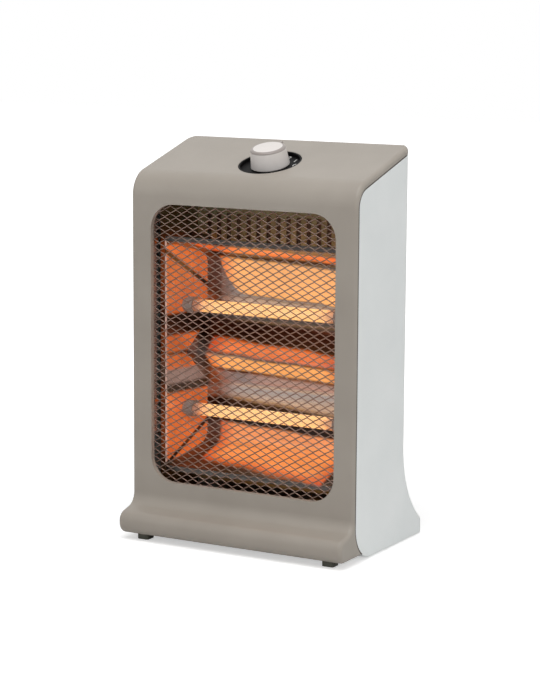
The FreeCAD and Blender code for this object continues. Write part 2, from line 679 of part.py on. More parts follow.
# Grille: expanded diamond mesh, one holed sheet behind the window
half_sheet = WINDOW_WIDTH / 2 + GRILLE_RIM
sheet_outline = [
    (-half_sheet, WINDOW_BOTTOM - GRILLE_MARGIN, WINDOW_RADIUS),
    (-half_sheet, WINDOW_TOP + GRILLE_MARGIN, WINDOW_RADIUS),
    (half_sheet, WINDOW_TOP + GRILLE_MARGIN, WINDOW_RADIUS),
    (half_sheet, WINDOW_BOTTOM - GRILLE_MARGIN, WINDOW_RADIUS),
]
place = in_xz(GRILLE_Y)
window_face = outline_face(window, place)
half_x = MESH_PITCH_X / 2
half_z = MESH_PITCH_Z / 2
keep = 1 - MESH_STRAND / 2 * math.hypot(half_x, half_z) / (half_x * half_z)
columns = int(WINDOW_WIDTH / MESH_PITCH_X) + 2
rows = int((WINDOW_TOP - WINDOW_BOTTOM) / MESH_PITCH_Z) + 2
middle_z = (WINDOW_BOTTOM + WINDOW_TOP) / 2
gaps = []
for i in range(-columns, columns + 1):
    for j in range(-rows, rows + 1):
        if (i + j) % 2:
            continue
        x, z = i * half_x, middle_z + j * half_z
        inside_x = abs(x) < WINDOW_WIDTH / 2 + half_x
        inside_z = WINDOW_BOTTOM - half_z < z < WINDOW_TOP + half_z
        if not (inside_x and inside_z):
            continue
        wide, tall = half_x * keep, half_z * keep
        tips = [(x - wide, z), (x, z + tall), (x + wide, z), (x, z - tall)]
        gap = Part.Face(Part.makePolygon([place(*tip) for tip in tips + tips[:1]]))
        trimmed = gap.common(window_face)
        if trimmed.Area > 0.1 * gap.Area:
            gaps += [face.OuterWire for face in trimmed.Faces]
print("grille gaps:", len(gaps))
holes = []
for spot in GRILLE_SCREWS:
    holes.append(Part.Wire(Part.makeCircle(SCREW_RADIUS + SCREW_CLEARANCE, spot, V(0, 1, 0))))
net = outline_face(sheet_outline, place).cut([Part.Face(wire) for wire in gaps + holes])
NODES["front_grille"] = net.extrude(V(0, MESH_SHEET, 0))

# Reflector: one polished sheet bent to two troughs, with hemmed front edges
front = FACE_Y + REFLECTOR_FRONT
back = FACE_Y + REFLECTOR_BACK
TROUGH_PATH = [
    (front, REFLECTOR_TOP + REFLECTOR_FLANGE, 0.0),
    (front, REFLECTOR_TOP, RIDGE_BEND / 2),
    (back, REFLECTOR_TOP - FLANK_RISE, REFLECTOR_BEND),
    (back, RIDGE_HEIGHT + RIDGE_FLANK, REFLECTOR_BEND),
    (FACE_Y + RIDGE_DEPTH, RIDGE_HEIGHT, RIDGE_BEND),
    (back, RIDGE_HEIGHT - RIDGE_FLANK, REFLECTOR_BEND),
    (back, REFLECTOR_BOTTOM + FLANK_RISE, REFLECTOR_BEND),
    (front, REFLECTOR_BOTTOM, RIDGE_BEND / 2),
    (front, REFLECTOR_BOTTOM - REFLECTOR_FLANGE, 0.0),
]
END_BACK = back + REFLECTOR_SHEET + END_MARGIN


def end_x(y):
    """Distance of an end plate's bright face from the middle at depth y."""
    return REFLECTOR_HALF_FRONT - END_SPLAY * (y - front)


trough = band_face(TROUGH_PATH, -REFLECTOR_SHEET, in_yz(-WIDTH / 2)).extrude(V(WIDTH, 0, 0))
between = [
    (-end_x(front - HEM), front - HEM, 0.0),
    (end_x(front - HEM), front - HEM, 0.0),
    (end_x(END_BACK), END_BACK, 0.0),
    (-end_x(END_BACK), END_BACK, 0.0),
]
NODES["reflector"] = trough.common(outline_face(between, in_xy(0.0)).extrude(V(0, 0, 2 * CROWN_HEIGHT)))

# Reflector end plates: bright splayed cheeks, each with a bent tab on its upright
TUBE_Y = FACE_Y + TUBE_DEPTH
end_low = REFLECTOR_BOTTOM - END_MARGIN
end_high = REFLECTOR_TOP + END_MARGIN
end_path = [
    (end_x(front), front, 0.0),
    (end_x(END_BACK), END_BACK, 2 * END_SHEET),
    (UPRIGHT_HALF - END_SHEET, END_BACK, 2 * END_SHEET),
    (UPRIGHT_HALF - END_SHEET, END_BACK + END_TAB, 0.0),
]
end_plate = band_face(end_path, END_SHEET, in_xy(end_low)).extrude(V(0, 0, end_high - end_low))
TAB_Y = END_BACK + END_TAB - SCREW_HEAD_RADIUS - SEAM_GAP
TAB_HEIGHTS = [LOWER_TUBE - TUBE_SPACING / 2, UPPER_TUBE + TUBE_SPACING / 2]
tab_spots = [V(UPRIGHT_HALF - END_SHEET, TAB_Y, z) for z in TAB_HEIGHTS]
tab_holes = [screw_hole(spot, V(1, 0, 0), SCREW_BITE) for spot in tab_spots]
neck_hole = CAP_NECK_RADIUS + CAP_HOLE_CLEARANCE
for level, z in LEVELS:
    end_plate = end_plate.cut(rod(neck_hole, V(HALF / 2, TUBE_Y, z), V(HALF, TUBE_Y, z)))
end_plate = end_plate.cut(tab_holes)
NODES["reflector_end_right"] = end_plate
NODES["reflector_end_left"] = mirrored(end_plate)

# Chassis uprights: steel sheets that stand on the base and carry the reflector and the heat shield
upright_outline = [
    (FACE_Y + UPRIGHT_FRONT, BASE_TOP, 0.0),
    (FACE_Y + UPRIGHT_FRONT, SHIELD_TOP, 0.0),
    (FACE_Y + UPRIGHT_BACK, SHIELD_TOP, SHIELD_BEND + SEAM_GAP),
    (FACE_Y + UPRIGHT_BACK, BASE_TOP, 0.0),
]
upright = fused([
    outline_face(upright_outline, in_yz(UPRIGHT_HALF)).extrude(V(UPRIGHT_SHEET, 0, 0)),
    block(
        UPRIGHT_HALF - UPRIGHT_FOOT, UPRIGHT_HALF + UPRIGHT_SHEET,
        FACE_Y + UPRIGHT_FRONT, FACE_Y + UPRIGHT_BACK,
        BASE_TOP, BASE_TOP + UPRIGHT_SHEET,
    ),
    block(
        UPRIGHT_HALF, UPRIGHT_HALF + UPRIGHT_LIP,
        FACE_Y + UPRIGHT_BACK - UPRIGHT_SHEET, FACE_Y + UPRIGHT_BACK,
        BASE_TOP, SHIELD_TOP - SHIELD_BEND - SEAM_GAP,
    ),
])
SHIELD_BACK = FACE_Y + UPRIGHT_BACK + SHIELD_SHEET
shield_spots = [V(UPRIGHT_HALF + UPRIGHT_LIP * SHIELD_SCREW_PLACE, SHIELD_BACK, z) for z in TAB_HEIGHTS]
shield_holes = [screw_hole(spot, V(0, -1, 0), SCREW_BITE) for spot in shield_spots]
upright = upright.cut(tab_holes + shield_holes + chassis_holes)
NODES["chassis_right"] = upright
NODES["chassis_left"] = mirrored(upright)

# Heat shield: sheet behind the reflector, bent forward over it under the switch, with a row of slots
shield_path = [
    (FACE_Y + UPRIGHT_BACK, SHIELD_BOTTOM, 0.0),
    (FACE_Y + UPRIGHT_BACK, SHIELD_TOP, SHIELD_BEND),
    (FACE_Y + SHIELD_FRONT, SHIELD_TOP, 0.0),
]
shield_half = UPRIGHT_HALF + UPRIGHT_LIP
shield = band_face(shield_path, SHIELD_SHEET, in_yz(-shield_half)).extrude(V(2 * shield_half, 0, 0))
slots = []
for i in range(SHIELD_SLOTS):
    x = (i - (SHIELD_SLOTS - 1) / 2) * SHIELD_SLOT_PITCH
    slots.append(block(
        x - SHIELD_SLOT_WIDTH / 2, x + SHIELD_SLOT_WIDTH / 2,
        SHIELD_BACK - 2 * SHIELD_SHEET, SHIELD_BACK + SHIELD_SHEET,
        SHIELD_SLOT_LOW, SHIELD_SLOT_HIGH,
    ))
NODES["heat_shield"] = shield.cut(slots + shield_holes + [mirrored(hole) for hole in shield_holes])

# Quartz tubes with their coils, end caps and terminals
CAP_SHOULDER = end_x(TUBE_Y) - CAP_STANDOFF
CAP_FACE = CAP_SHOULDER - CAP_BARREL_LENGTH
SOCKET_END = CAP_FACE + CAP_SOCKET_DEPTH
NECK_END = CAP_SHOULDER + CAP_NECK_LENGTH
TAIL_END = NECK_END + CAP_TAIL_LENGTH
TUBE_HALF = SOCKET_END - TUBE_CLEARANCE
pins = []
for level, z in LEVELS:
    axis = V(0, TUBE_Y, z)
    tube = rod(TUBE_RADIUS, axis - V(TUBE_HALF, 0, 0), axis + V(TUBE_HALF, 0, 0))
    bore = rod(TUBE_RADIUS - TUBE_WALL, axis - V(HALF, 0, 0), axis + V(HALF, 0, 0))
    NODES["quartz_tube_" + level] = tube.cut(bore)
    hot = TUBE_HALF - COIL_COLD_END
    coil = rod(COIL_RADIUS, axis - V(hot, 0, 0), axis + V(hot, 0, 0))
    tail = rod(COIL_TAIL_RADIUS, axis - V(NECK_END, 0, 0), axis + V(NECK_END, 0, 0))
    NODES["heating_coil_" + level] = fused([coil, tail])
    cap = fused([
        rod(CAP_BARREL_RADIUS, axis + V(CAP_FACE, 0, 0), axis + V(CAP_SHOULDER, 0, 0)),
        rod(CAP_NECK_RADIUS, axis + V(CAP_SHOULDER, 0, 0), axis + V(NECK_END, 0, 0)),
        rod(CAP_TAIL_RADIUS, axis + V(NECK_END, 0, 0), axis + V(TAIL_END, 0, 0)),
    ])
    cap = cap.cut([
        rod(TUBE_RADIUS + TUBE_CLEARANCE, axis + V(CAP_FACE, 0, 0), axis + V(SOCKET_END, 0, 0)),
        rod(COIL_TAIL_RADIUS + TUBE_CLEARANCE, axis, axis + V(TAIL_END, 0, 0)),
        rod(PIN_RADIUS + SCREW_CLEARANCE, axis + V(NECK_END, 0, 0), axis + V(TAIL_END, 0, 0)),
    ])
    NODES["end_cap_" + level + "_right"] = cap
    NODES["end_cap_" + level + "_left"] = mirrored(cap)
    pin = rod(PIN_RADIUS, axis + V(NECK_END, 0, 0), axis + V(NECK_END + PIN_LENGTH, 0, 0))
    pins += [pin, mirrored(pin)]
NODES["tube_terminals"] = Part.makeCompound(pins)

# Dial dish: black cup in the sloping top, seated under the shell
flange_low = -SHELL_WALL - DISH_FLOOR - (DISH_RECESS - SHELL_WALL)
dish_floor = -DISH_RECESS
dish = turned([
    (BUSH_RADIUS + BUSH_CLEARANCE, dish_floor, 0.0),
    (DISH_RADIUS - DISH_CLEARANCE - DISH_WALL, dish_floor, 0.0),
    (DISH_RADIUS - DISH_CLEARANCE - DISH_WALL, -DISH_CLEARANCE, 0.0),
    (DISH_RADIUS - DISH_CLEARANCE, -DISH_CLEARANCE, 0.0),
    (DISH_RADIUS - DISH_CLEARANCE, -SHELL_WALL, 0.0),
    (DISH_RADIUS + DISH_FLANGE, -SHELL_WALL, 0.0),
    (DISH_RADIUS + DISH_FLANGE, flange_low, 0.0),
    (BUSH_RADIUS + BUSH_CLEARANCE, flange_low, 0.0),
])
NODES["dial_dish"] = on_dial(dish)

# Rotary switch: body under the dish, threaded bush through it, nut on top, blades below
switch_low = flange_low - SWITCH_HEIGHT
bush_top = dish_floor + BUSH_PROUD
half_switch = SWITCH_SIDE / 2
shaft_low = flange_low - SWITCH_SHAFT_DEPTH
switch = [
    block(-half_switch, half_switch, -half_switch, half_switch, switch_low, flange_low),
    Part.makeCylinder(BUSH_RADIUS, bush_top - flange_low + 1, V(0, 0, flange_low - 1)),
]
for i in (-1, 0, 1):
    x = i * BLADE_SPACING
    switch.append(block(
        x - BLADE_SHEET / 2, x + BLADE_SHEET / 2,
        -BLADE_WIDTH / 2, BLADE_WIDTH / 2,
        switch_low - BLADE_REACH, switch_low + 1,
    ))
shaft_bore = Part.makeCylinder(
    SHAFT_RADIUS + SHAFT_CLEARANCE, bush_top - shaft_low + KNOB_HEIGHT, V(0, 0, shaft_low - SHAFT_CLEARANCE)
)
NODES["rotary_switch"] = on_dial(fused(switch).cut(shaft_bore))
across = NUT_FLATS / 2 / math.cos(math.pi / 6)
hexagon = [(across * math.cos(k * math.pi / 3), across * math.sin(k * math.pi / 3), 0.0) for k in range(6)]
nut = outline_face(hexagon, in_xy(dish_floor)).extrude(V(0, 0, NUT_HEIGHT))
nut_bore = Part.makeCylinder(
    BUSH_RADIUS + SCREW_CLEARANCE, 4 * NUT_HEIGHT, V(0, 0, dish_floor - NUT_HEIGHT)
)
NODES["switch_nut"] = on_dial(nut.cut(nut_bore))

# Knob and shaft: turn together; the shaft has a flat and the knob's hub fits it
knob_base = dish_floor + KNOB_GAP
knob_top = knob_base + KNOB_HEIGHT
hub_low = bush_top + KNOB_GAP
grip_top = hub_low + SHAFT_GRIP
hub_bore = SHAFT_RADIUS + SCREW_CLEARANCE / 2
flat_x = SHAFT_RADIUS - SHAFT_FLAT
roof = knob_top - KNOB_DOME - KNOB_WALL
knob = turned([
    (0.0, knob_top, 0.0),
    (KNOB_TOP_RADIUS, knob_top - KNOB_DOME, KNOB_EDGE),
    (KNOB_BASE_RADIUS, knob_base, 0.6),
    (KNOB_BASE_RADIUS - KNOB_WALL, knob_base, 0.0),
    (KNOB_TOP_RADIUS - KNOB_WALL, roof, 1.0),
    (KNOB_HUB_RADIUS, roof, 1.0),
    (KNOB_HUB_RADIUS, hub_low, 0.0),
    (hub_bore, hub_low, 0.0),
    (hub_bore, grip_top + KNOB_GAP, 0.0),
    (0.0, grip_top + KNOB_GAP, 0.0),
])
flat_fill = Part.makeCylinder(hub_bore, grip_top - hub_low, V(0, 0, hub_low))
flat_fill = flat_fill.common(block(
    flat_x + SCREW_CLEARANCE / 2, KNOB_HUB_RADIUS, -KNOB_HUB_RADIUS, KNOB_HUB_RADIUS, hub_low, grip_top
))
pointer = block(
    KNOB_TOP_RADIUS - KNOB_EDGE, KNOB_TOP_RADIUS + POINTER_REACH,
    -POINTER_WIDTH / 2, POINTER_WIDTH / 2,
    knob_top - KNOB_HEIGHT / 2, knob_top - KNOB_DOME,
)
pointer.rotate(V(0, 0, 0), V(0, 0, 1), KNOB_POINTER)
NODES["knob"] = on_dial(fused([knob, flat_fill, pointer]))
shaft = Part.makeCylinder(SHAFT_RADIUS, grip_top - shaft_low, V(0, 0, shaft_low))
shaft_flat = block(flat_x, KNOB_HUB_RADIUS, -KNOB_HUB_RADIUS, KNOB_HUB_RADIUS, hub_low, knob_top)
NODES["switch_shaft"] = on_dial(shaft.cut(shaft_flat))

# Tip-over switch: a spring pushes the plunger down when the heater leaves the floor
housing_top = BASE_TOP + TIP_HEIGHT
spring_seat = housing_top - TIP_ROOF
flange_bottom = BASE_TOP + TIP_TRAVEL
flange_top = flange_bottom + PLUNGER_FLANGE_THICKNESS
guide_top = flange_top + PLUNGER_GUIDE_LENGTH
half_tip = TIP_SIDE / 2
housing = block(
    TIP_X - half_tip, TIP_X + half_tip,
    TIP_Y - half_tip, TIP_Y + half_tip,
    BASE_TOP, housing_top,
)
NODES["tip_switch_housing"] = housing.cut(rod(TIP_BORE, TIP, TIP + V(0, 0, spring_seat)))
NODES["tip_plunger"] = fused([
    rod(PLUNGER_RADIUS, TIP, TIP + V(0, 0, flange_top)),
    rod(PLUNGER_FLANGE, TIP + V(0, 0, flange_bottom), TIP + V(0, 0, flange_top)),
    rod(PLUNGER_GUIDE_RADIUS, TIP + V(0, 0, flange_top), TIP + V(0, 0, guide_top)),
])
spring_low = flange_top + SPRING_WIRE + SPRING_SEAT_GAP
spring_high = spring_seat - SPRING_WIRE - SPRING_SEAT_GAP
turn_rise = (spring_high - spring_low) / SPRING_TURNS
stations = []
for k in range(4 * SPRING_TURNS + 1):
    angle = k * math.pi / 2
    climb = turn_rise / (2 * math.pi)
    across = V(math.cos(angle), math.sin(angle), 0) * SPRING_RADIUS
    spot = TIP + across + V(0, 0, spring_low + climb * angle)
    heading = V(-math.sin(angle), math.cos(angle), climb / SPRING_RADIUS).normalize()
    stations.append((spot, heading))
arcs = []
for (start, leave), (end, arrive) in zip(stations, stations[1:]):
    chord = end - start
    spread = 2 * (1 - leave.dot(arrive))
    along = chord.dot(leave + arrive)
    reach = (-along + math.sqrt(along * along + spread * chord.dot(chord))) / spread
    joint = (start + end + (leave - arrive) * reach) * 0.5
    arcs.append(corner_arc(start, start + leave * reach, joint))
    arcs.append(corner_arc(joint, end - arrive * reach, end))
ring = Part.Wire(Part.makeCircle(SPRING_WIRE, stations[0][0], stations[0][1]))
NODES["tip_spring"] = Part.Wire(arcs).makePipeShell([ring], True, False)
least = min((a[0] - b[0]).Length for i, a in enumerate(stations) for b in stations[i + 2:])
print("tip spring's least gap to itself:", round(least - 2 * SPRING_WIRE, 2))

# Terminal block on the base and thermal cut-out on the heat shield
body = block(
    BLOCK_X - BLOCK_LENGTH / 2, BLOCK_X + BLOCK_LENGTH / 2,
    BLOCK_Y - BLOCK_WIDTH / 2, BLOCK_Y + BLOCK_WIDTH / 2,
    BASE_TOP, BASE_TOP + BLOCK_HEIGHT,
)
wells = []
for k in range(BLOCK_WAYS):
    x = BLOCK_X + (k - (BLOCK_WAYS - 1) / 2) * BLOCK_LENGTH / BLOCK_WAYS
    top = V(x, BLOCK_Y, BASE_TOP + BLOCK_HEIGHT)
    wells.append(rod(SCREW_HEAD_RADIUS, top - V(0, 0, BLOCK_HEIGHT / 3), top + V(0, 0, 1)))
NODES["terminal_block"] = body.cut(wells)
seat = V(CUTOUT_X, SHIELD_BACK, CUTOUT_HEIGHT)
NODES["thermal_cutout"] = fused([
    rod(CUTOUT_FLANGE_RADIUS, seat, seat + V(0, CUTOUT_FLANGE, 0)),
    rod(CUTOUT_RADIUS, seat, seat + V(0, CUTOUT_BODY, 0)),
])

# Screws, one node to each place they hold
panel_screws = []
for y in (FRONT_FIXING_Y, REAR_FIXING_Y):
    for z in FIXINGS:
        one = screw(V(FIXING_X - FIXING_WALL, y, z), V(1, 0, 0), FIXING_WALL + SCREW_BITE)
        panel_screws += [one, mirrored(one)]
NODES["side_panel_screws"] = Part.makeCompound(panel_screws)
NODES["base_screws"] = Part.makeCompound(
    [screw(spot, V(0, 0, 1), STUD_TOP - UNDERSIDE_HEIGHT) for spot in BASE_SCREWS]
)
grip = WINDOW_LIP_DEPTH - SHELL_WALL
NODES["grille_screws"] = Part.makeCompound(
    [screw(spot + V(0, MESH_SHEET, 0), V(0, -1, 0), MESH_SHEET + grip) for spot in GRILLE_SCREWS]
)
NODES["chassis_screws"] = Part.makeCompound(
    [screw(spot, V(0, 0, -1), UPRIGHT_SHEET + BASE_SHEET) for spot in CHASSIS_SCREWS]
)
tab_screws = [screw(spot, V(1, 0, 0), END_SHEET + UPRIGHT_SHEET) for spot in tab_spots]
NODES["reflector_screws"] = Part.makeCompound(tab_screws + [mirrored(one) for one in tab_screws])
back_screws = [screw(spot, V(0, -1, 0), SHIELD_SHEET + UPRIGHT_SHEET) for spot in shield_spots]
NODES["shield_screws"] = Part.makeCompound(back_screws + [mirrored(one) for one in back_screws])

os.makedirs("parts", exist_ok=True)
for name, shape in NODES.items():
    shape.exportStep("parts/" + name + ".step")
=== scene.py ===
import json
import math

import bpy
from mathutils import Matrix, Vector

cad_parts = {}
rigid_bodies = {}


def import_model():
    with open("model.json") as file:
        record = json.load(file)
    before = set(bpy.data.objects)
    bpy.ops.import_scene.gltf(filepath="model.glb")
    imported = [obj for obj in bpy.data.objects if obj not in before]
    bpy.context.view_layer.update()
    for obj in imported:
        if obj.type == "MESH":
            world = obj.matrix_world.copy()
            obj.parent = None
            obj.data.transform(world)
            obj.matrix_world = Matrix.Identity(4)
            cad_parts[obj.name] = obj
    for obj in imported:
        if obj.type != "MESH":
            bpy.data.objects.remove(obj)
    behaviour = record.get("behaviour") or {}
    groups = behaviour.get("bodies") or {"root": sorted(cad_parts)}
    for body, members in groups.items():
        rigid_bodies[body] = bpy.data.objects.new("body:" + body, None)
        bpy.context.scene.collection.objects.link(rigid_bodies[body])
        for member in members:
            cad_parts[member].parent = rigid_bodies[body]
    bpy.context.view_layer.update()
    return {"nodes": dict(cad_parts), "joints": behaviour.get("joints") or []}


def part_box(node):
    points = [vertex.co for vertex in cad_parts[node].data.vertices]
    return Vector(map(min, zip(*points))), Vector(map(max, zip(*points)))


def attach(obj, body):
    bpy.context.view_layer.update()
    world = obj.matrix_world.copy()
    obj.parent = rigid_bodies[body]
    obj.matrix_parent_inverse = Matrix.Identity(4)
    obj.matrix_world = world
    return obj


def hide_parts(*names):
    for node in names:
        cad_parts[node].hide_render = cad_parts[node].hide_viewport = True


for item in list(bpy.data.objects):
    bpy.data.objects.remove(item)
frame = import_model()
nodes = frame["nodes"]


# Base plate: a folded black steel sheet that closes the underside and carries the uprights.
# Painted with a fine satin texture; four screws from below hold it to the shell and rear cover.
def new_finish(name):
    finish = bpy.data.materials.new(name)
    finish.use_nodes = True
    tree = finish.node_tree
    tree.nodes.clear()
    shader = tree.nodes.new("ShaderNodeBsdfPrincipled")
    output = tree.nodes.new("ShaderNodeOutputMaterial")
    tree.links.new(shader.outputs["BSDF"], output.inputs["Surface"])
    return finish, tree, shader


even = (1.0, 1.0, 1.0)


def speckle(tree, size, detail, stretch=even):
    """Noise over the piece, with marks about `size` metres across."""
    place = tree.nodes.new("ShaderNodeTexCoord")
    turn = tree.nodes.new("ShaderNodeMapping")
    turn.inputs["Scale"].default_value = stretch
    noise = tree.nodes.new("ShaderNodeTexNoise")
    noise.inputs["Scale"].default_value = 1.0 / size
    noise.inputs["Detail"].default_value = detail
    tree.links.new(place.outputs["Object"], turn.inputs["Vector"])
    tree.links.new(turn.outputs["Vector"], noise.inputs["Vector"])
    return noise.outputs["Fac"]


noise_low = 0.3
noise_high = 0.7


def between_tones(tree, factor, dark, light, low=noise_low, high=noise_high):
    ramp = tree.nodes.new("ShaderNodeValToRGB")
    ramp.color_ramp.elements[0].position = low
    ramp.color_ramp.elements[0].color = (*dark, 1.0)
    ramp.color_ramp.elements[1].position = high
    ramp.color_ramp.elements[1].color = (*light, 1.0)
    tree.links.new(factor, ramp.inputs["Fac"])
    return ramp.outputs["Color"]


def between_values(tree, factor, low, high):
    spread = tree.nodes.new("ShaderNodeMapRange")
    spread.inputs["From Min"].default_value = noise_low
    spread.inputs["From Max"].default_value = noise_high
    spread.inputs["To Min"].default_value = low
    spread.inputs["To Max"].default_value = high
    tree.links.new(factor, spread.inputs["Value"])
    return spread.outputs["Result"]


def raised(tree, shader, height, strength, distance):
    bump = tree.nodes.new("ShaderNodeBump")
    bump.inputs["Strength"].default_value = strength
    bump.inputs["Distance"].default_value = distance
    tree.links.new(height, bump.inputs["Height"])
    tree.links.new(bump.outputs["Normal"], shader.inputs["Normal"])


def tint(red, green, blue):
    """A colour as seen on screen, 0 to 255, as the shader wants it."""
    linear = []
    for part in (red, green, blue):
        share = part / 255.0
        linear.append(share / 12.92 if share <= 0.04045 else ((share + 0.055) / 1.055) ** 2.4)
    return tuple(linear)


cloud_size = 0.06
gloss_spread = 0.06
grain_strength = 0.35


def moulded(name, dark, light, gloss, grain, depth, shine=0.5):
    """Moulded plastic or paint: two close tones, uneven gloss and a fine spark-eroded grain."""
    finish, tree, shader = new_finish(name)
    shader.inputs["Specular IOR Level"].default_value = shine
    cloud = speckle(tree, cloud_size, detail=3.0)
    fine = speckle(tree, grain, detail=2.0)
    roughness = between_values(tree, fine, gloss - gloss_spread, gloss + gloss_spread)
    tree.links.new(between_tones(tree, cloud, dark, light), shader.inputs["Base Color"])
    tree.links.new(roughness, shader.inputs["Roughness"])
    raised(tree, shader, fine, grain_strength, depth)
    return finish


def dress(finish, *names):
    for name in names:
        mesh = nodes[name].data
        mesh.materials.clear()
        mesh.materials.append(finish)


black_paint = moulded(
    "base_black", tint(34, 34, 35), tint(44, 44, 45),
    gloss=0.5, grain=0.0008, depth=0.00006,
)
dress(black_paint, "base_plate")

# Feet: four square rubber pads pushed through the base with a stud.
# Matt grey rubber, a little chalky where it is handled.
rubber = moulded(
    "foot_rubber", tint(94, 95, 86), tint(108, 107, 97),
    gloss=0.75, grain=0.0012, depth=0.0001,
)
dress(rubber, "foot_front_left", "foot_front_right", "foot_rear_left", "foot_rear_right")


# Uprights and heat shield: folded zinc-plated steel; the uprights stand on the base and carry
# the shield. The plating shows faint flow lines and a soft, cloudy gleam, olive on the shield.
roll_line = 0.0012
plating_cloud = 0.03
line_strength = 0.2
line_depth = 0.00002


def sheet_metal(name, dark, light, smooth, rough, stretch, depth=line_depth, bare=1.0):
    """Rolled or plated steel; `bare` is less than 1 where a passivated film dulls it."""
    finish, tree, shader = new_finish(name)
    shader.inputs["Metallic"].default_value = bare
    lines = speckle(tree, roll_line, detail=3.0, stretch=stretch)
    cloud = speckle(tree, plating_cloud, detail=4.0)
    tree.links.new(between_tones(tree, cloud, dark, light), shader.inputs["Base Color"])
    tree.links.new(between_values(tree, lines, smooth, rough), shader.inputs["Roughness"])
    raised(tree, shader, lines, line_strength, depth)
    return finish


flow = (0.05, 1.0, 1.0)
zinc = sheet_metal(
    "zinc_steel", tint(124, 123, 108), tint(152, 150, 134),
    smooth=0.34, rough=0.48, stretch=flow,
)
dress(zinc, "chassis_left", "chassis_right")
olive = sheet_metal(
    "olive_zinc", tint(158, 190, 164), tint(184, 214, 190),
    smooth=0.46, rough=0.6, stretch=flow, bare=0.3,
)
dress(olive, "heat_shield")


# Reflector and its end plates: bright-rolled aluminium, bent to two troughs behind the tubes.
# The tubes' orange glow on the sheet is painted reflection, emitted in broad bands, with painted shade
# between them and grey painted reflections at the bends; its base colour has painted dark and pale
# bands too.
# The end plates carry the same painted reflection, with a dark line of painted shade across each trough
# and a painted highlight along the front edge.
def part_of(tree, axis):
    place = tree.nodes.new("ShaderNodeTexCoord")
    split = tree.nodes.new("ShaderNodeSeparateXYZ")
    tree.links.new(place.outputs["Object"], split.inputs["Vector"])
    return split.outputs[axis]


def sums(tree, operation, first, second=0.0):
    made = tree.nodes.new("ShaderNodeMath")
    made.operation = operation
    for spot, value in enumerate((first, second)):
        if isinstance(value, bpy.types.NodeSocket):
            tree.links.new(value, made.inputs[spot])
        else:
            made.inputs[spot].default_value = value
    return made.outputs[0]


def ease(tree, value, low, high):
    """0 below `low`, 1 above `high`, smooth between; the other way round where low is greater."""
    soft = tree.nodes.new("ShaderNodeMapRange")
    soft.interpolation_type = "SMOOTHSTEP"
    soft.inputs["From Min"].default_value = low
    soft.inputs["From Max"].default_value = high
    tree.links.new(value, soft.inputs["Value"])
    return soft.outputs["Result"]


band_fade = 0.006


def bands_of(tree, height, bands, low, high):
    """Colour by height: each band is its lower edge in metres and the colour from there up."""
    share = tree.nodes.new("ShaderNodeMapRange")
    share.inputs["From Min"].default_value = low
    share.inputs["From Max"].default_value = high
    tree.links.new(height, share.inputs["Value"])
    ramp = tree.nodes.new("ShaderNodeValToRGB")
    stops = ramp.color_ramp.elements
    while len(stops) > 1:
        stops.remove(stops[-1])
    before = bands[0][1]
    stops[0].position = 0.0
    stops[0].color = (*before, 1.0)
    for edge, glow in bands[1:]:
        spot = (edge - low) / (high - low)
        stops.new(spot - band_fade).color = (*before, 1.0)
        stops.new(spot + band_fade).color = (*glow, 1.0)
        before = glow
    tree.links.new(share.outputs["Result"], ramp.inputs["Fac"])
    return ramp.outputs["Color"]


def blend(tree, way, share, first, second):
    mixed = tree.nodes.new("ShaderNodeMix")
    mixed.data_type = "RGBA"
    mixed.blend_type = way
    tree.links.new(share, mixed.inputs[0])
    for spot, value in ((6, first), (7, second)):
        if isinstance(value, bpy.types.NodeSocket):
            tree.links.new(value, mixed.inputs[spot])
        else:
            mixed.inputs[spot].default_value = (*value, 1.0)
    return mixed.outputs[2]


bright_roll, tree, shader = new_finish("bright_aluminium")
shader.inputs["Metallic"].default_value = 1.0
lines = speckle(tree, roll_line, detail=3.0, stretch=(0.02, 1.0, 1.0))
waves = speckle(tree, size=0.05, detail=2.0)
across = part_of(tree, "X")
height = part_of(tree, "Z")
band_lean = 0.05
band_wave = 0.006
tilted = sums(tree, "ADD", height, sums(tree, "MULTIPLY", across, band_lean))
wavy = sums(tree, "ADD", tilted, sums(tree, "MULTIPLY", waves, band_wave))
# The base colour's bands by height are painted: dark bands of painted shade and pale bands of painted
# reflection on the plain metal tone.
plain = tint(114, 111, 108)
shade_band = tint(62, 54, 50)
sheen_band = tint(168, 160, 154)
sheet_low = 0.06
sheet_high = 0.30
painted_shade_and_sheen = bands_of(
    tree, wavy,
    (
        (sheet_low, plain), (0.104, shade_band), (0.127, sheen_band), (0.159, plain),
        (0.188, shade_band), (0.206, plain), (0.220, sheen_band), (0.229, plain),
    ),
    sheet_low, sheet_high,
)
tree.links.new(painted_shade_and_sheen, shader.inputs["Base Color"])
tree.links.new(between_values(tree, lines, low=0.24, high=0.34), shader.inputs["Roughness"])
sheet_relief = 0.15
raised(tree, shader, lines, sheet_relief, line_depth)
# The emission below is painted reflection of the tubes' glow on the sheet: amber and orange bands, grey
# bands of painted reflection and unlit bands of painted shade.
amber = (1.0, 0.43, 0.13)
deep_amber = (0.94, 0.28, 0.07)
orange = (0.8, 0.15, 0.03)
ashen = (0.19, 0.175, 0.17)
dusky = (0.3, 0.19, 0.16)
unlit = (0.0, 0.0, 0.0)
upper_glow = 0.2315
colour = bands_of(
    tree, wavy,
    (
        (sheet_low, unlit), (0.0735, orange), (0.0765, deep_amber), (0.104, unlit),
        (0.130, ashen), (0.157, unlit), (0.161, amber), (0.1755, unlit), (0.1785, orange),
        (0.1895, unlit), (0.2205, ashen), (0.2295, unlit),
        (upper_glow, amber), (0.266, unlit), (0.273, orange), (0.284, unlit),
    ),
    sheet_low, sheet_high,
)
glow_middle = 0.006
glow_half = 0.0686
glow_end = 0.0728
red_from = 0.05
red_full = 0.072
reddened = (0.75, 0.4, 0.3)
upturn_start = 0.0246
upturn_pull = 420.0
edge_soft = 0.001
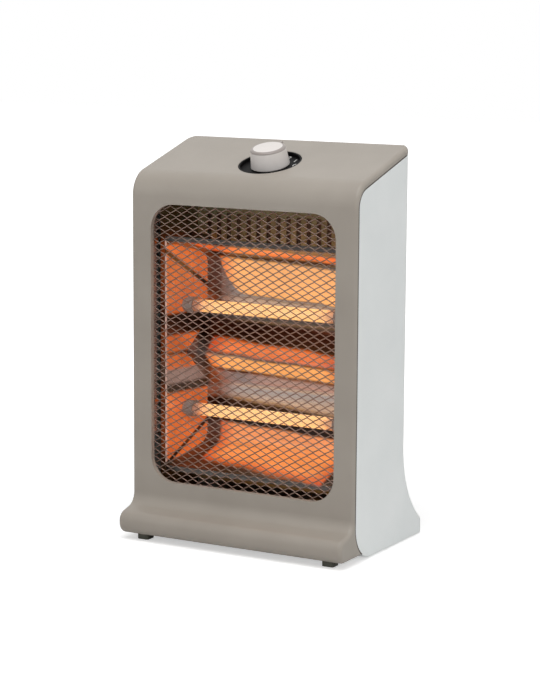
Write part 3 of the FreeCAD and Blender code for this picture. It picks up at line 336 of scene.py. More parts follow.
# The painted reflection is shaped: grey where the upper band turns up at the left end, redder towards
# the ends, unevenly in patches, and faded out to painted shade near the end plates.
from_middle = sums(tree, "ABSOLUTE", sums(tree, "SUBTRACT", across, glow_middle))
leftward = sums(tree, "MULTIPLY", across, -1.0)
turned_end = sums(tree, "MAXIMUM", sums(tree, "SUBTRACT", leftward, upturn_start), 0.0)
upturn = sums(tree, "MULTIPLY", sums(tree, "POWER", turned_end, 3.0), upturn_pull)
over_edge = sums(tree, "SUBTRACT", wavy, sums(tree, "ADD", upturn, upper_glow))
above_band = ease(tree, wavy, upper_glow - 2.5 * edge_soft, upper_glow - edge_soft)
corner = sums(tree, "MULTIPLY", ease(tree, over_edge, edge_soft, -edge_soft), above_band)
colour = blend(tree, "MIX", corner, colour, ashen)
inboard = ease(tree, from_middle, glow_end, glow_half)
outward = ease(tree, from_middle, red_from, red_full)
colour = blend(tree, "MULTIPLY", outward, colour, reddened)
tree.links.new(colour, shader.inputs["Emission Color"])
patches = speckle(tree, size=0.022, detail=3.0, stretch=(0.5, 1.0, 1.0))
unevenness = between_values(tree, patches, low=0.78, high=1.04)
tree.links.new(sums(tree, "MULTIPLY", inboard, unevenness), shader.inputs["Emission Strength"])
dress(bright_roll, "reflector")

end_roll, tree, shader = new_finish("bright_end_plate")
shader.inputs["Metallic"].default_value = 1.0
lines = speckle(tree, roll_line, detail=3.0, stretch=(1.0, 1.0, 0.02))
cloud = speckle(tree, plating_cloud, detail=4.0)
tree.links.new(
    between_tones(tree, cloud, tint(104, 101, 99), tint(122, 119, 116)),
    shader.inputs["Base Color"],
)
tree.links.new(between_values(tree, lines, low=0.26, high=0.36), shader.inputs["Roughness"])
raised(tree, shader, lines, sheet_relief, line_depth)
height = part_of(tree, "Z")
depth = part_of(tree, "Y")
# The emission bands are painted reflection of the tubes' glow on the end plate, with unlit bands of
# painted shade.
colour = bands_of(
    tree, height,
    (
        (sheet_low, unlit), (0.072, orange), (0.137, unlit), (0.146, dusky), (0.160, orange),
        (0.174, unlit), (0.177, orange), (0.193, unlit), (0.214, orange), (0.281, unlit),
    ),
    sheet_low, sheet_high,
)
clear = between_values(tree, speckle(tree, size=0.02, detail=3.0), low=0.52, high=0.86)
# Two dark lines of painted shade cut across the painted glow, one across each trough.
shade_line_half = 0.0013
shade_line_end = 0.0031
shade_lines = ((0.245, -0.64), (0.098, 0.63))
for level, slope in shade_lines:
    shade_line = sums(tree, "SUBTRACT", height, sums(tree, "MULTIPLY", depth, slope))
    off = sums(tree, "ABSOLUTE", sums(tree, "SUBTRACT", shade_line, level))
    clear = sums(tree, "MULTIPLY", ease(tree, off, shade_line_half, shade_line_end), clear)
# A painted highlight: a pale emissive line along the plate's front edge.
front_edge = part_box("reflector_end_left")[0].y
edge_line = 0.0012
edge_highlight = (0.62, 0.4, 0.33)
edge_highlight_mask = ease(tree, depth, front_edge + edge_line + edge_soft, front_edge + edge_line)
colour = blend(tree, "MIX", edge_highlight_mask, colour, edge_highlight)
tree.links.new(colour, shader.inputs["Emission Color"])
tree.links.new(clear, shader.inputs["Emission Strength"])
dress(end_roll, "reflector_end_left", "reflector_end_right")


# Heating coils: resistance wire wound close on a mandrel, with straight tails to the terminals.
# They glow yellow in the middle and orange towards the cold ends.
def grow_tree(name, sizes, along=False):
    """An empty Geometry Nodes tree with one named length for each entry of `sizes`."""
    tree = bpy.data.node_groups.new(name, "GeometryNodeTree")
    tree.interface.new_socket("Geometry", in_out="OUTPUT", socket_type="NodeSocketGeometry")
    if along:
        tree.interface.new_socket("Path", in_out="INPUT", socket_type="NodeSocketGeometry")
    for label, value in sizes.items():
        kind = "NodeSocketInt" if isinstance(value, int) else "NodeSocketFloat"
        if isinstance(value, bpy.types.Material):
            kind = "NodeSocketMaterial"
        tree.interface.new_socket(label, in_out="INPUT", socket_type=kind)
    return tree, tree.nodes.new("NodeGroupInput"), tree.nodes.new("NodeGroupOutput")


def step(tree, kind, settings=None, **links):
    """One node: `settings` are its own options, `links` its inputs by name."""
    made = tree.nodes.new(kind)
    for label, value in (settings or {}).items():
        setattr(made, label, value)
    for label, value in links.items():
        socket = made.inputs[label.replace("_", " ")]
        if isinstance(value, bpy.types.NodeSocket):
            tree.links.new(value, socket)
        else:
            socket.default_value = value
    return made


def point(tree, x=0.0, y=0.0, z=0.0):
    return step(tree, "ShaderNodeCombineXYZ", None, X=x, Y=y, Z=z).outputs[0]


def grown(name, tree, sizes, points=()):
    """The tree's result as a plain mesh object at the origin, along the points where it has any."""
    start = bpy.data.meshes.new(name)
    start.from_pydata(list(points), [(i, i + 1) for i in range(len(points) - 1)], [])
    holder = bpy.data.objects.new(name, start)
    bpy.context.scene.collection.objects.link(holder)
    shape = holder.modifiers.new("shape", "NODES")
    shape.node_group = tree
    for socket in tree.interface.items_tree:
        if socket.in_out == "INPUT" and socket.name in sizes:
            shape[socket.identifier] = sizes[socket.name]
    graph = bpy.context.evaluated_depsgraph_get()
    made = bpy.data.meshes.new_from_object(holder.evaluated_get(graph))
    holder.modifiers.clear()
    holder.data = made
    return holder


def glow_along(tree, hot_half, fade):
    """1 over the hot length of a tube, falling to 0 at its cold ends."""
    from_middle = sums(tree, "ABSOLUTE", part_of(tree, "X"))
    return ease(tree, from_middle, hot_half + fade, hot_half - fade)


wire_red = (0.9, 0.2, 0.04)
wire_yellow = (1.0, 0.62, 0.21)
hot_wire, tree, shader = new_finish("hot_coil")
ember = glow_along(tree, hot_half=0.058, fade=0.010)
shader.inputs["Roughness"].default_value = 0.6
shader.inputs["Base Color"].default_value = (*tint(90, 70, 60), 1.0)
tree.links.new(
    between_tones(tree, ember, wire_red, wire_yellow, low=0.0, high=1.0),
    shader.inputs["Emission Color"],
)
tree.links.new(between_values(tree, ember, low=0.3, high=0.5), shader.inputs["Emission Strength"])

coil_sizes = {
    "Half Length": 0.066,
    "Tail Half": 0.0862,
    "Turns": 87,
    "Coil Radius": 0.003,
    "Wire Radius": 0.00036,
    "Tail Radius": 0.0005,
    "Tube Depth": -0.018,
    "Tube Height": 0.0,
    "Wire": hot_wire,
}
coil_tree, sizes_in, result = grow_tree("close_wound_coil", coil_sizes)
half_length = sizes_in.outputs["Half Length"]
rounds = step(
    coil_tree, "GeometryNodeCurveSpiral", None,
    Resolution=14, Rotations=sizes_in.outputs["Turns"],
    Start_Radius=sizes_in.outputs["Coil Radius"], End_Radius=sizes_in.outputs["Coil Radius"],
    Height=sums(coil_tree, "MULTIPLY", half_length, 2.0),
)
rounds = step(
    coil_tree, "GeometryNodeTransform", None, Geometry=rounds.outputs[0],
    Translation=point(coil_tree, z=sums(coil_tree, "MULTIPLY", half_length, -1.0)),
)
ring = step(
    coil_tree, "GeometryNodeCurvePrimitiveCircle", None,
    Resolution=6, Radius=sizes_in.outputs["Wire Radius"],
)
rounds = step(
    coil_tree, "GeometryNodeCurveToMesh", None,
    Curve=rounds.outputs[0], Profile_Curve=ring.outputs[0], Fill_Caps=True,
)
tails = []
for way in (-1.0, 1.0):
    tails.append(step(
        coil_tree, "GeometryNodeCurvePrimitiveLine", None,
        Start=point(coil_tree, z=sums(coil_tree, "MULTIPLY", half_length, way)),
        End=point(coil_tree, z=sums(coil_tree, "MULTIPLY", sizes_in.outputs["Tail Half"], way)),
    ))
    tails.append(step(
        coil_tree, "GeometryNodeCurvePrimitiveLine", None,
        Start=point(coil_tree, z=sums(coil_tree, "MULTIPLY", half_length, way)),
        End=point(
            coil_tree, x=sizes_in.outputs["Coil Radius"],
            z=sums(coil_tree, "MULTIPLY", half_length, way),
        ),
    ))
joined = coil_tree.nodes.new("GeometryNodeJoinGeometry")
for tail in tails:
    coil_tree.links.new(tail.outputs[0], joined.inputs[0])
ring = step(
    coil_tree, "GeometryNodeCurvePrimitiveCircle", None,
    Resolution=8, Radius=sizes_in.outputs["Tail Radius"],
)
tails = step(
    coil_tree, "GeometryNodeCurveToMesh", None,
    Curve=joined.outputs[0], Profile_Curve=ring.outputs[0], Fill_Caps=True,
)
joined = coil_tree.nodes.new("GeometryNodeJoinGeometry")
coil_tree.links.new(rounds.outputs[0], joined.inputs[0])
coil_tree.links.new(tails.outputs[0], joined.inputs[0])
laid = step(
    coil_tree, "GeometryNodeTransform", None, Geometry=joined.outputs[0],
    Rotation=(0.0, math.pi / 2, 0.0),
    Translation=point(coil_tree, y=sizes_in.outputs["Tube Depth"], z=sizes_in.outputs["Tube Height"]),
)
real = step(coil_tree, "GeometryNodeRealizeInstances", None, Geometry=laid.outputs[0])
wired = step(
    coil_tree, "GeometryNodeSetMaterial", None,
    Geometry=real.outputs[0], Material=sizes_in.outputs["Wire"],
)
coil_tree.links.new(wired.outputs[0], result.inputs[0])
for level in ("lower", "upper"):
    low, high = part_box("quartz_tube_" + level)
    coil_sizes["Tube Height"] = (low.z + high.z) / 2
    coil_sizes["Tube Depth"] = (low.y + high.y) / 2
    coil = grown("coil_wire_" + level, coil_tree, coil_sizes)
    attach(coil, "case")
    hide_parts("heating_coil_" + level)

# Quartz tubes: satin quartz glass, open at both ends, held by the ceramic caps.
# The satin surface scatters the coil's light, so the whole tube glows and its ends stay orange.
tube_red = (0.85, 0.2, 0.05)
tube_yellow = (1.0, 0.54, 0.17)
satin_quartz, tree, shader = new_finish("quartz")
ember = glow_along(tree, hot_half=0.069, fade=0.007)
shader.inputs["Base Color"].default_value = (1.0, 0.94, 0.86, 1.0)
shader.inputs["IOR"].default_value = 1.46
shader.inputs["Transmission Weight"].default_value = 0.85
etching = between_values(tree, speckle(tree, size=0.004, detail=3.0), low=0.25, high=0.38)
tree.links.new(etching, shader.inputs["Roughness"])
tree.links.new(
    between_tones(tree, ember, tube_red, tube_yellow, low=0.0, high=1.0),
    shader.inputs["Emission Color"],
)
tree.links.new(between_values(tree, ember, low=0.06, high=0.26), shader.inputs["Emission Strength"])
dress(satin_quartz, "quartz_tube_upper", "quartz_tube_lower")

# End caps: pressed steatite ceramic, one on each end of a tube, necked through the end plate.
# Off-white and matt, with the dry bloom of unglazed ceramic; the terminals are plated steel pins.
ceramic = moulded(
    "cap_ceramic", tint(150, 146, 140), tint(174, 170, 163),
    gloss=0.7, grain=0.0006, depth=0.00008,
)
for level in ("upper", "lower"):
    dress(ceramic, "end_cap_" + level + "_left", "end_cap_" + level + "_right")
plated = sheet_metal(
    "screw_steel", tint(168, 167, 163), tint(190, 189, 184),
    smooth=0.25, rough=0.38, stretch=even,
)
dress(plated, "tube_terminals")

# Grille: a sheet of expanded steel mesh, slit and drawn so that its strands stand a little on edge.
# Bare steel, browned a little by the heat, with a plain border that is screwed behind the window's lip.
mesh_steel = sheet_metal(
    "mesh_steel", tint(150, 130, 119), tint(174, 152, 141),
    smooth=0.3, rough=0.45, stretch=even, depth=0.00003,
)
low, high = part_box("front_grille")
cell_wide = 0.0123
cell_tall = 0.0072
strand = 0.00095
window_half = 0.09825
window_low = 0.0553
window_high = 0.3215
steps_per_cell = 6
cells_out = math.ceil(window_half / cell_wide) + 1
rows = math.ceil((window_high - window_low) / cell_tall) * 2 + 3
grille_sizes = {
    "Cell Width": cell_wide,
    "Cell Height": cell_tall,
    "Strand": strand,
    "Sheet": 0.0006,
    "Slant": math.radians(32.0),
    "Row Half": cells_out * cell_wide,
    "Row Points": cells_out * 2 * steps_per_cell + 1,
    "Rows": rows,
    "Window Half": window_half,
    "Window Rise": (window_high - window_low) / 2,
    "Window Radius": 0.024,
    "Tuck": 0.0016,
    "Border Clear": 0.0006,
    "Border Width": high.x - low.x,
    "Border Height": high.z - low.z,
    "Border Sheet": high.y - low.y,
    "Screw Spread": 0.068,
    "Screw Out": 0.007,
    "Screw Hole": 0.0016,
    "Middle Height": (window_high + window_low) / 2,
    "Depth": (low.y + high.y) / 2,
    "Steel": mesh_steel,
}
net, sizes_in, result = grow_tree("expanded_mesh", grille_sizes)
size = sizes_in.outputs
half_cell = sums(net, "MULTIPLY", size["Cell Height"], 0.5)
strand_shared = 0.6
rise = sums(net, "SUBTRACT", half_cell, sums(net, "MULTIPLY", size["Strand"], strand_shared))
line = step(
    net, "GeometryNodeCurvePrimitiveLine", None,
    Start=point(net, x=sums(net, "MULTIPLY", size["Row Half"], -1.0)),
    End=point(net, x=size["Row Half"]),
)
line = step(net, "GeometryNodeResampleCurve", None, Curve=line.outputs[0], Count=size["Row Points"])
place = net.nodes.new("GeometryNodeInputIndex").outputs[0]
up_steps = steps_per_cell / 2
wave = sums(net, "DIVIDE", sums(net, "PINGPONG", place, up_steps), up_steps)
wave = sums(net, "MULTIPLY", sums(net, "SUBTRACT", wave, 0.5), rise)
line = step(net, "GeometryNodeSetPosition", None, Geometry=line.outputs[0], Offset=point(net, z=wave))
stack = step(net, "GeometryNodeMeshLine", None, Count=size["Rows"], Offset=point(net, z=half_cell))
place = net.nodes.new("GeometryNodeInputIndex").outputs[0]
half_wide = sums(net, "MULTIPLY", size["Cell Width"], 0.5)
sideways = sums(net, "MULTIPLY", sums(net, "MODULO", place, 2.0), half_wide)
half_down = sums(net, "MULTIPLY", half_cell, -0.5)
drop = sums(net, "MULTIPLY", sums(net, "SUBTRACT", size["Rows"], 1.0), half_down)
stack = step(
    net, "GeometryNodeSetPosition", None,
    Geometry=stack.outputs[0], Offset=point(net, x=sideways, z=drop),
)
strands = step(
    net, "GeometryNodeInstanceOnPoints", None,
    Points=stack.outputs[0], Instance=line.outputs[0],
)
strands = step(net, "GeometryNodeRealizeInstances", None, Geometry=strands.outputs[0])
where = net.nodes.new("GeometryNodeInputPosition").outputs[0]
spot = step(net, "ShaderNodeSeparateXYZ", None, Vector=where)
over = []
for axis, half in (("X", "Window Half"), ("Z", "Window Rise")):
    straight = sums(net, "SUBTRACT", size[half], size["Window Radius"])
    past = sums(net, "SUBTRACT", sums(net, "ABSOLUTE", spot.outputs[axis]), straight)
    over.append(sums(net, "MAXIMUM", past, 0.0))
squares = [sums(net, "POWER", distance, 2.0) for distance in over]
reach = sums(net, "SQRT", sums(net, "ADD", squares[0], squares[1]))
outside = sums(net, "GREATER_THAN", reach, sums(net, "ADD", size["Window Radius"], size["Tuck"]))
strands = step(net, "GeometryNodeDeleteGeometry", None, Geometry=strands.outputs[0], Selection=outside)
strands = step(net, "GeometryNodeSetCurveNormal", {"mode": "Z_UP"}, Curve=strands.outputs[0])
strands = step(net, "GeometryNodeSetCurveTilt", None, Curve=strands.outputs[0], Tilt=size["Slant"])
profile = step(
    net, "GeometryNodeCurvePrimitiveQuadrilateral", None, Width=size["Sheet"], Height=size["Strand"],
)
strands = step(
    net, "GeometryNodeCurveToMesh", None,
    Curve=strands.outputs[0], Profile_Curve=profile.outputs[0], Fill_Caps=True,
)
border = net.nodes.new("GeometryNodeJoinGeometry")
outer = step(
    net, "GeometryNodeCurvePrimitiveQuadrilateral", None,
    Width=size["Border Width"], Height=size["Border Height"],
)
inner = step(
    net, "GeometryNodeCurvePrimitiveQuadrilateral", None,
    Width=sums(net, "MULTIPLY", sums(net, "ADD", size["Window Half"], size["Border Clear"]), 2.0),
    Height=sums(net, "MULTIPLY", sums(net, "ADD", size["Window Rise"], size["Border Clear"]), 2.0),
)
inner = step(
    net, "GeometryNodeFilletCurve", {"mode": "POLY"}, Curve=inner.outputs[0],
    Count=10, Radius=size["Window Radius"],
)
net.links.new(outer.outputs[0], border.inputs[0])
net.links.new(inner.outputs[0], border.inputs[0])
for way in (-1.0, 1.0):
    for column in (-1.0, 0.0, 1.0):
        hole = step(
            net, "GeometryNodeCurvePrimitiveCircle", None,
            Resolution=16, Radius=size["Screw Hole"],
        )
        up = sums(net, "MULTIPLY", sums(net, "ADD", size["Window Rise"], size["Screw Out"]), way)
        hole = step(
            net, "GeometryNodeTransform", None, Geometry=hole.outputs[0],
            Translation=point(net, x=sums(net, "MULTIPLY", size["Screw Spread"], column), y=up),
        )
        net.links.new(hole.outputs[0], border.inputs[0])
flat = step(net, "GeometryNodeFillCurve", None, Curve=border.outputs[0])
thick = step(
    net, "GeometryNodeExtrudeMesh", None, Mesh=flat.outputs[0],
    Offset=(0.0, 0.0, 1.0), Offset_Scale=size["Border Sheet"], Individual=False,
)
under = step(net, "GeometryNodeFlipFaces", None, Mesh=flat.outputs[0])
border = net.nodes.new("GeometryNodeJoinGeometry")
net.links.new(thick.outputs[0], border.inputs[0])
net.links.new(under.outputs[0], border.inputs[0])
weld = 0.00002
border = step(net, "GeometryNodeMergeByDistance", None, Geometry=border.outputs[0], Distance=weld)
border = step(
    net, "GeometryNodeTransform", None, Geometry=border.outputs[0], Rotation=(math.pi / 2, 0.0, 0.0),
    Translation=point(net, y=sums(net, "MULTIPLY", size["Border Sheet"], 0.5)),
)
whole = net.nodes.new("GeometryNodeJoinGeometry")
net.links.new(strands.outputs[0], whole.inputs[0])
net.links.new(border.outputs[0], whole.inputs[0])
whole = step(
    net, "GeometryNodeTransform", None, Geometry=whole.outputs[0],
    Translation=point(net, y=size["Depth"], z=size["Middle Height"]),
)
whole = step(net, "GeometryNodeRealizeInstances", None, Geometry=whole.outputs[0])
whole = step(net, "GeometryNodeSetMaterial", None, Geometry=whole.outputs[0], Material=size["Steel"])
net.links.new(whole.outputs[0], result.inputs[0])
grille = grown("expanded_grille", net, grille_sizes)
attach(grille, "case")
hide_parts("front_grille")

# Front shell: taupe front, toe and sloping top moulded in one piece, with the window's lip.
# Plastic with a fine satin grain; the side panels clip and screw to it from inside.
taupe = moulded(
    "shell_taupe", tint(157, 149, 139), tint(164, 156, 146),
    gloss=0.42, grain=0.0007, depth=0.00005,
)
dress(taupe, "front_shell")

# Side panels: pale grey-white mouldings that flare out to the rear at the foot.
# Satin plastic, a shade cooler than the shell, with a thin dark seam where they meet it.
pale = moulded(
    "panel_pale", tint(234, 238, 237), tint(240, 243, 242),
    gloss=0.4, grain=0.0007, depth=0.00005,
)
dress(pale, "side_panel_left", "side_panel_right")

# Seam shade cords: thin dark grey cords laid in the seam between the shell and each side panel, a dark
# strip of painted shade standing for the shadow along the seam.
# Each follows the panel's front edge, the bend at the crown and the sloping top, which stands
# square to the dial's axis, and turns in at the rear.
# The dark grey of this cord is painted shade along the seam.
seam_shade_grey = moulded(
    "seam_shade_dark", tint(96, 91, 86), tint(106, 101, 96),
    gloss=0.7, grain=0.0008, depth=0.00003, shine=0.2,
)
cord_sizes = {"Cord Radius": 0.0008, "Shade Finish": seam_shade_grey}
cord_tree, sizes_in, result = grow_tree("seam_cord", cord_sizes, along=True)
path = step(cord_tree, "GeometryNodeMeshToCurve", None, Mesh=sizes_in.outputs["Path"])
ring = step(
    cord_tree, "GeometryNodeCurvePrimitiveCircle", None,
    Resolution=8, Radius=sizes_in.outputs["Cord Radius"],
)
cord = step(
    cord_tree, "GeometryNodeCurveToMesh", None,
    Curve=path.outputs[0], Profile_Curve=ring.outputs[0], Fill_Caps=True,
)
cord = step(cord_tree, "GeometryNodeRealizeInstances", None, Geometry=cord.outputs[0])
cord = step(
    cord_tree, "GeometryNodeSetMaterial", None,
    Geometry=cord.outputs[0], Material=sizes_in.outputs["Shade Finish"],
)
cord_tree.links.new(cord.outputs[0], result.inputs[0])
dial = next(joint for joint in frame["joints"] if joint["name"] == "knob_turn")
dial_middle = Vector(dial["pos_m"])
dial_up = Vector(dial["axis"]).normalized()
top_tilt = math.atan2(-dial_up.y, dial_up.z)
low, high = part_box("side_panel_right")
onto_panel = 0.0007
panel_drop = 0.0065
face_inset = 0.00085
seam_front = low.y + onto_panel
seam_out = high.x - face_inset
toe_corner = 0.032
toe_round = toe_corner - onto_panel
toe_arc = 56
toe_step = 8
crown_corner = 0.0185
crown_round = crown_corner - onto_panel
crown_steps = 12
rear_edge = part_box("front_shell")[1].y
rear_round = 0.014
rear_inset = 0.001
rear_turn = rear_round - rear_inset
rear_arc = 80
rear_step = 10


def seam_level(depth):
    """Height of the seam on the sloping top, where the panel's edge lies below the surface."""
    surface = dial_middle.z + (depth - dial_middle.y) * math.tan(top_tilt)
    return surface - (panel_drop + onto_panel) / math.cos(top_tilt)


seam_points = []
for degrees in range(toe_arc, -1, -toe_step):
    turn = math.radians(degrees)
    away = toe_round * math.cos(turn)
    drop = toe_round * math.sin(turn)
    seam_points.append((seam_out, low.y + toe_corner - away, low.z + toe_corner - drop))
bend = math.pi / 2 - top_tilt
bend_start = seam_level(seam_front) - crown_round * math.tan(bend / 2)
for count in range(crown_steps + 1):
    turn = bend * count / crown_steps
    away = crown_round * (1.0 - math.cos(turn))
    seam_points.append((seam_out, seam_front + away, bend_start + crown_round * math.sin(turn)))
for degrees in range(0, rear_arc + 1, rear_step):
    turn = math.radians(degrees)
    depth = rear_edge - rear_round + rear_turn * math.sin(turn)
    inward = rear_turn * (1.0 - math.cos(turn))
    seam_points.append((seam_out - inward, depth, seam_level(depth)))
for side, way in (("left", -1.0), ("right", 1.0)):
    points = [(x * way, y, z) for x, y, z in seam_points]
    shade_strip = grown("seam_shade_strip_" + side, cord_tree, cord_sizes, points)
    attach(shade_strip, "case")

# Rear cover: grey moulding that closes the back, with two rows of vent slots.
# Matt plastic, a little coarser in grain than the front.
cover_grey = moulded(
    "cover_grey", tint(150, 144, 136), tint(158, 152, 144),
    gloss=0.5, grain=0.0009, depth=0.00007,
)
dress(cover_grey, "rear_cover")

# Cord inlet's bush, switches, terminal block and thermal cut-out: small black mouldings.
# The bush is clipped in the rear cover; the others sit inside, under the dial, on the base
# and on the heat shield.
black_moulding = moulded(
    "switch_black", tint(26, 26, 27), tint(36, 36, 37),
    gloss=0.45, grain=0.0008, depth=0.00005,
)
dress(black_moulding, "cord_inlet_bush", "rotary_switch", "tip_switch_housing")
dress(black_moulding, "terminal_block", "thermal_cutout")

# Dial dish: a shallow black cup in the sloping top, with plain white numbers round the knob.
# Matt black moulding, printed with the settings 0, 1 and 2.
dish_black = moulded(
    "dial_black", tint(12, 11, 11), tint(20, 18, 18),
    gloss=0.55, grain=0.0009, depth=0.00003, shine=0.1,
)
dress(dish_black, "dial_dish")
print_white = moulded(
    "dial_print", tint(222, 221, 217), tint(234, 233, 230),
    gloss=0.55, grain=0.0008, depth=0.00002,
)


def stand_at(place, right, up, out):
    """The place and turn of something whose own axes point right, up and out."""
    rows = [[right[i], up[i], out[i], place[i]] for i in range(3)]
    return Matrix(rows + [[0.0, 0.0, 0.0, 1.0]])


dial_right = Vector((1.0, 0.0, 0.0))
dial_back = dial_up.cross(dial_right)
dish_depth = 0.00345
number_size = 0.0084
number_ring = 0.0238
print_depth = 0.00004
for digit, angle in (("0", 10.0), ("1", 40.0), ("2", 70.0)):
    letter = bpy.data.curves.new("number_" + digit, "FONT")
    letter.body = digit
    letter.size = number_size
    letter.extrude = print_depth
    letter.align_x = "CENTER"
    letter.align_y = "CENTER"
    turn = math.radians(angle)
    outwards = dial_right * math.cos(turn) + dial_back * math.sin(turn)
    centre = dial_middle - dial_up * dish_depth + outwards * number_ring
    printed = bpy.data.objects.new("dial_number_" + digit, letter)
    bpy.context.scene.collection.objects.link(printed)
    graph = bpy.context.evaluated_depsgraph_get()
    flat = bpy.data.meshes.new_from_object(printed.evaluated_get(graph))
    bpy.data.objects.remove(printed)
    flat.transform(stand_at(centre, dial_right, dial_back, dial_up))
    flat.materials.clear()
    flat.materials.append(print_white)
    number = bpy.data.objects.new("dial_number_" + digit, flat)
    bpy.context.scene.collection.objects.link(number)
    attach(number, "case")

# Knob: a white moulded cap with a softly domed top and a small nib that points to the setting.
# Satin plastic on the switch's flatted shaft, with a grey ring of painted shade round the top's edge
# where the rounded rim turns from the light.
# The shaft and the nut that clamps the switch to the dish are plated steel.
# The grey ring round the top's edge is painted shade on the knob's rounded rim.
ring_in = 0.0136
ring_full = 0.0143
ring_low = 0.0124
ring_level = 0.0132
rim_shade_grey = tint(158, 149, 144)
knob_white, tree, shader = new_finish("knob_white")
fine = speckle(tree, size=0.0008, detail=2.0)
place = tree.nodes.new("ShaderNodeTexCoord").outputs["Object"]
from_dial = tree.nodes.new("ShaderNodeVectorMath")
from_dial.operation = "SUBTRACT"
from_dial.inputs[1].default_value = dial_middle
tree.links.new(place, from_dial.inputs[0])
spans = {}
for operation in ("DOT_PRODUCT", "CROSS_PRODUCT"):
    spans[operation] = tree.nodes.new("ShaderNodeVectorMath")
    spans[operation].operation = operation
    spans[operation].inputs[1].default_value = dial_up
    tree.links.new(from_dial.outputs[0], spans[operation].inputs[0])
out_from_axis = tree.nodes.new("ShaderNodeVectorMath")
out_from_axis.operation = "LENGTH"
tree.links.new(spans["CROSS_PRODUCT"].outputs[0], out_from_axis.inputs[0])
ring = sums(
    tree, "MULTIPLY",
    ease(tree, out_from_axis.outputs["Value"], ring_in, ring_full),
    ease(tree, spans["DOT_PRODUCT"].outputs["Value"], ring_low, ring_level),
)
cloud = speckle(tree, cloud_size, detail=3.0)
white = between_tones(tree, cloud, tint(222, 216, 211), tint(229, 223, 219))
tree.links.new(blend(tree, "MIX", ring, white, rim_shade_grey), shader.inputs["Base Color"])
tree.links.new(between_values(tree, fine, low=0.29, high=0.41), shader.inputs["Roughness"])
raised(tree, shader, fine, grain_strength, distance=0.00004)
dress(knob_white, "knob")
dress(plated, "switch_nut", "switch_shaft")

# Tip-over plunger and its spring: a white peg under the base that is pushed in by the floor.
# Natural white plastic and bright spring wire.
plunger_white = moulded(
    "plunger_white", tint(226, 225, 219), tint(235, 234, 229),
    gloss=0.45, grain=0.0008, depth=0.00004,
)
dress(plunger_white, "tip_plunger")
spring_wire = sheet_metal(
    "spring_steel", tint(120, 120, 122), tint(150, 150, 150),
    smooth=0.2, rough=0.32, stretch=even,
)
dress(spring_wire, "tip_spring")

# Screws: plated steel, pan heads, one set for each place they hold.
# Most are hidden behind the panels; the base's heads show underneath.
for place in ("side_panel", "base", "grille", "chassis", "reflector", "shield"):
    dress(plated, place + "_screws")


# Studio: a pale floor under soft light from above the front and from both sides.
# The floor keeps the heater's shadow, and the camera stands at the photograph's angle.
def greatest(tree, first, second):
    return sums(tree, "MAXIMUM", first, second)


world = bpy.data.worlds.new("studio")
bpy.context.scene.world = world
world.use_nodes = True
tree = world.node_tree
tree.nodes.clear()
path = tree.nodes.new("ShaderNodeLightPath").outputs
look = tree.nodes.new("ShaderNodeTexCoord")
heading = tree.nodes.new("ShaderNodeSeparateXYZ")
tree.links.new(look.outputs["Generated"], heading.inputs["Vector"])
room_dim = 0.25
room_light = 0.36
backdrop = ease(tree, heading.outputs["Y"], low=-0.3, high=0.3)
room = sums(tree, "ADD", sums(tree, "MULTIPLY", backdrop, 1.0 - room_dim), room_dim)
mirrored = sums(tree, "MULTIPLY", path["Is Glossy Ray"], room)
seen = greatest(tree, path["Is Camera Ray"], greatest(tree, path["Is Transmission Ray"], mirrored))
eye_or_mirror = greatest(
    tree, path["Is Camera Ray"], greatest(tree, path["Is Transmission Ray"], path["Is Glossy Ray"])
)
falls = sums(tree, "MULTIPLY", sums(tree, "SUBTRACT", 1.0, eye_or_mirror), room_light)
studio = tree.nodes.new("ShaderNodeBackground")
sky = tree.nodes.new("ShaderNodeOutputWorld")
tree.links.new(sums(tree, "ADD", seen, falls), studio.inputs["Strength"])
studio.inputs["Color"].default_value = (1.0, 1.0, 1.0, 1.0)
tree.links.new(studio.outputs[0], sky.inputs["Surface"])

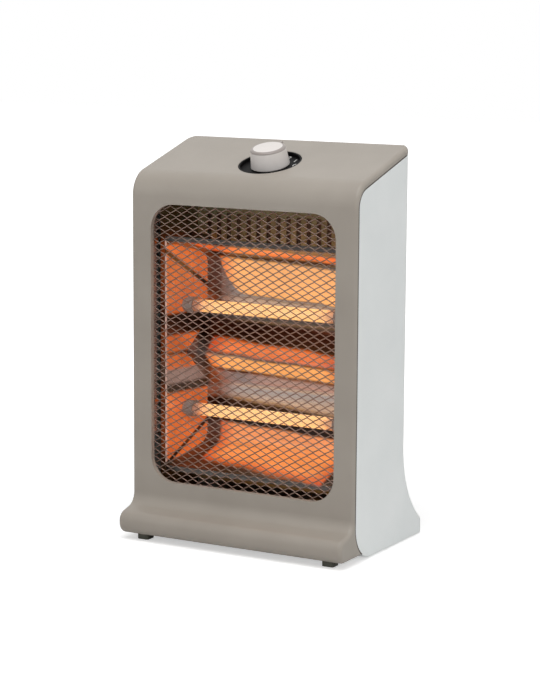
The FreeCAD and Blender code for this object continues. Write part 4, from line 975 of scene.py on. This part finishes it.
floor_mesh = bpy.data.meshes.new("floor")
reach = 6.0
corners = [(-reach, -reach, 0.0), (reach, -reach, 0.0), (reach, reach, 0.0), (-reach, reach, 0.0)]
floor_mesh.from_pydata(corners, [], [(0, 1, 2, 3)])
floor = bpy.data.objects.new("floor", floor_mesh)
bpy.context.scene.collection.objects.link(floor)
paper = bpy.data.materials.new("floor_paper")
paper.use_nodes = True
tree = paper.node_tree
tree.nodes.clear()
matt = tree.nodes.new("ShaderNodeBsdfDiffuse")
matt.inputs["Color"].default_value = (0.82, 0.82, 0.82, 1.0)
lift = tree.nodes.new("ShaderNodeEmission")
both = tree.nodes.new("ShaderNodeAddShader")
under = tree.nodes.new("ShaderNodeOutputMaterial")
path = tree.nodes.new("ShaderNodeLightPath").outputs
away = tree.nodes.new("ShaderNodeVectorMath")
away.operation = "LENGTH"
ground = tree.nodes.new("ShaderNodeTexCoord")
tree.links.new(ground.outputs["Object"], away.inputs[0])
near_lift = 0.5
fade_out = ease(tree, away.outputs["Value"], low=0.15, high=1.1)
far = sums(tree, "ADD", sums(tree, "MULTIPLY", fade_out, 1.0 - near_lift), near_lift)
seen = greatest(tree, path["Is Camera Ray"], path["Is Transmission Ray"])
tree.links.new(sums(tree, "MULTIPLY", seen, far), lift.inputs["Strength"])
tree.links.new(matt.outputs[0], both.inputs[0])
tree.links.new(lift.outputs[0], both.inputs[1])
tree.links.new(both.outputs[0], under.inputs["Surface"])
floor_mesh.materials.append(paper)


def softbox(name, place, target, wide, tall, watts):
    lamp = bpy.data.lights.new(name, "AREA")
    lamp.shape = "RECTANGLE"
    lamp.size = wide
    lamp.size_y = tall
    lamp.energy = watts
    holder = bpy.data.objects.new(name, lamp)
    holder.location = place
    aim = Vector(target) - Vector(place)
    holder.rotation_euler = aim.to_track_quat("-Z", "Y").to_euler()
    bpy.context.scene.collection.objects.link(holder)


softbox("overhead", (0.2, -0.7, 1.75), (0.0, 0.0, 0.25), wide=1.3, tall=1.3, watts=18.4)
softbox("right_side", (1.8, -0.2, 0.9), (0.1, 0.0, 0.2), wide=1.2, tall=1.2, watts=6.4)
softbox("front_left", (-1.2, -1.8, 1.0), (0.0, 0.0, 0.2), wide=1.0, tall=1.2, watts=3.2)

lens = bpy.data.cameras.new("camera")
lens.sensor_width = 36.0
lens.lens = 113.4
eye = bpy.data.objects.new("camera", lens)
right = Vector((0.87154, 0.49031, 0.00534))
up = Vector((-0.08560, 0.14142, 0.98626))
back = right.cross(up)
stand = Vector((1.0107, -1.8080, 0.5283))
eye.matrix_world = stand_at(stand, right, up, back)
bpy.context.scene.collection.objects.link(eye)
bpy.context.scene.camera = eye
bpy.context.scene.view_settings.view_transform = "Standard"
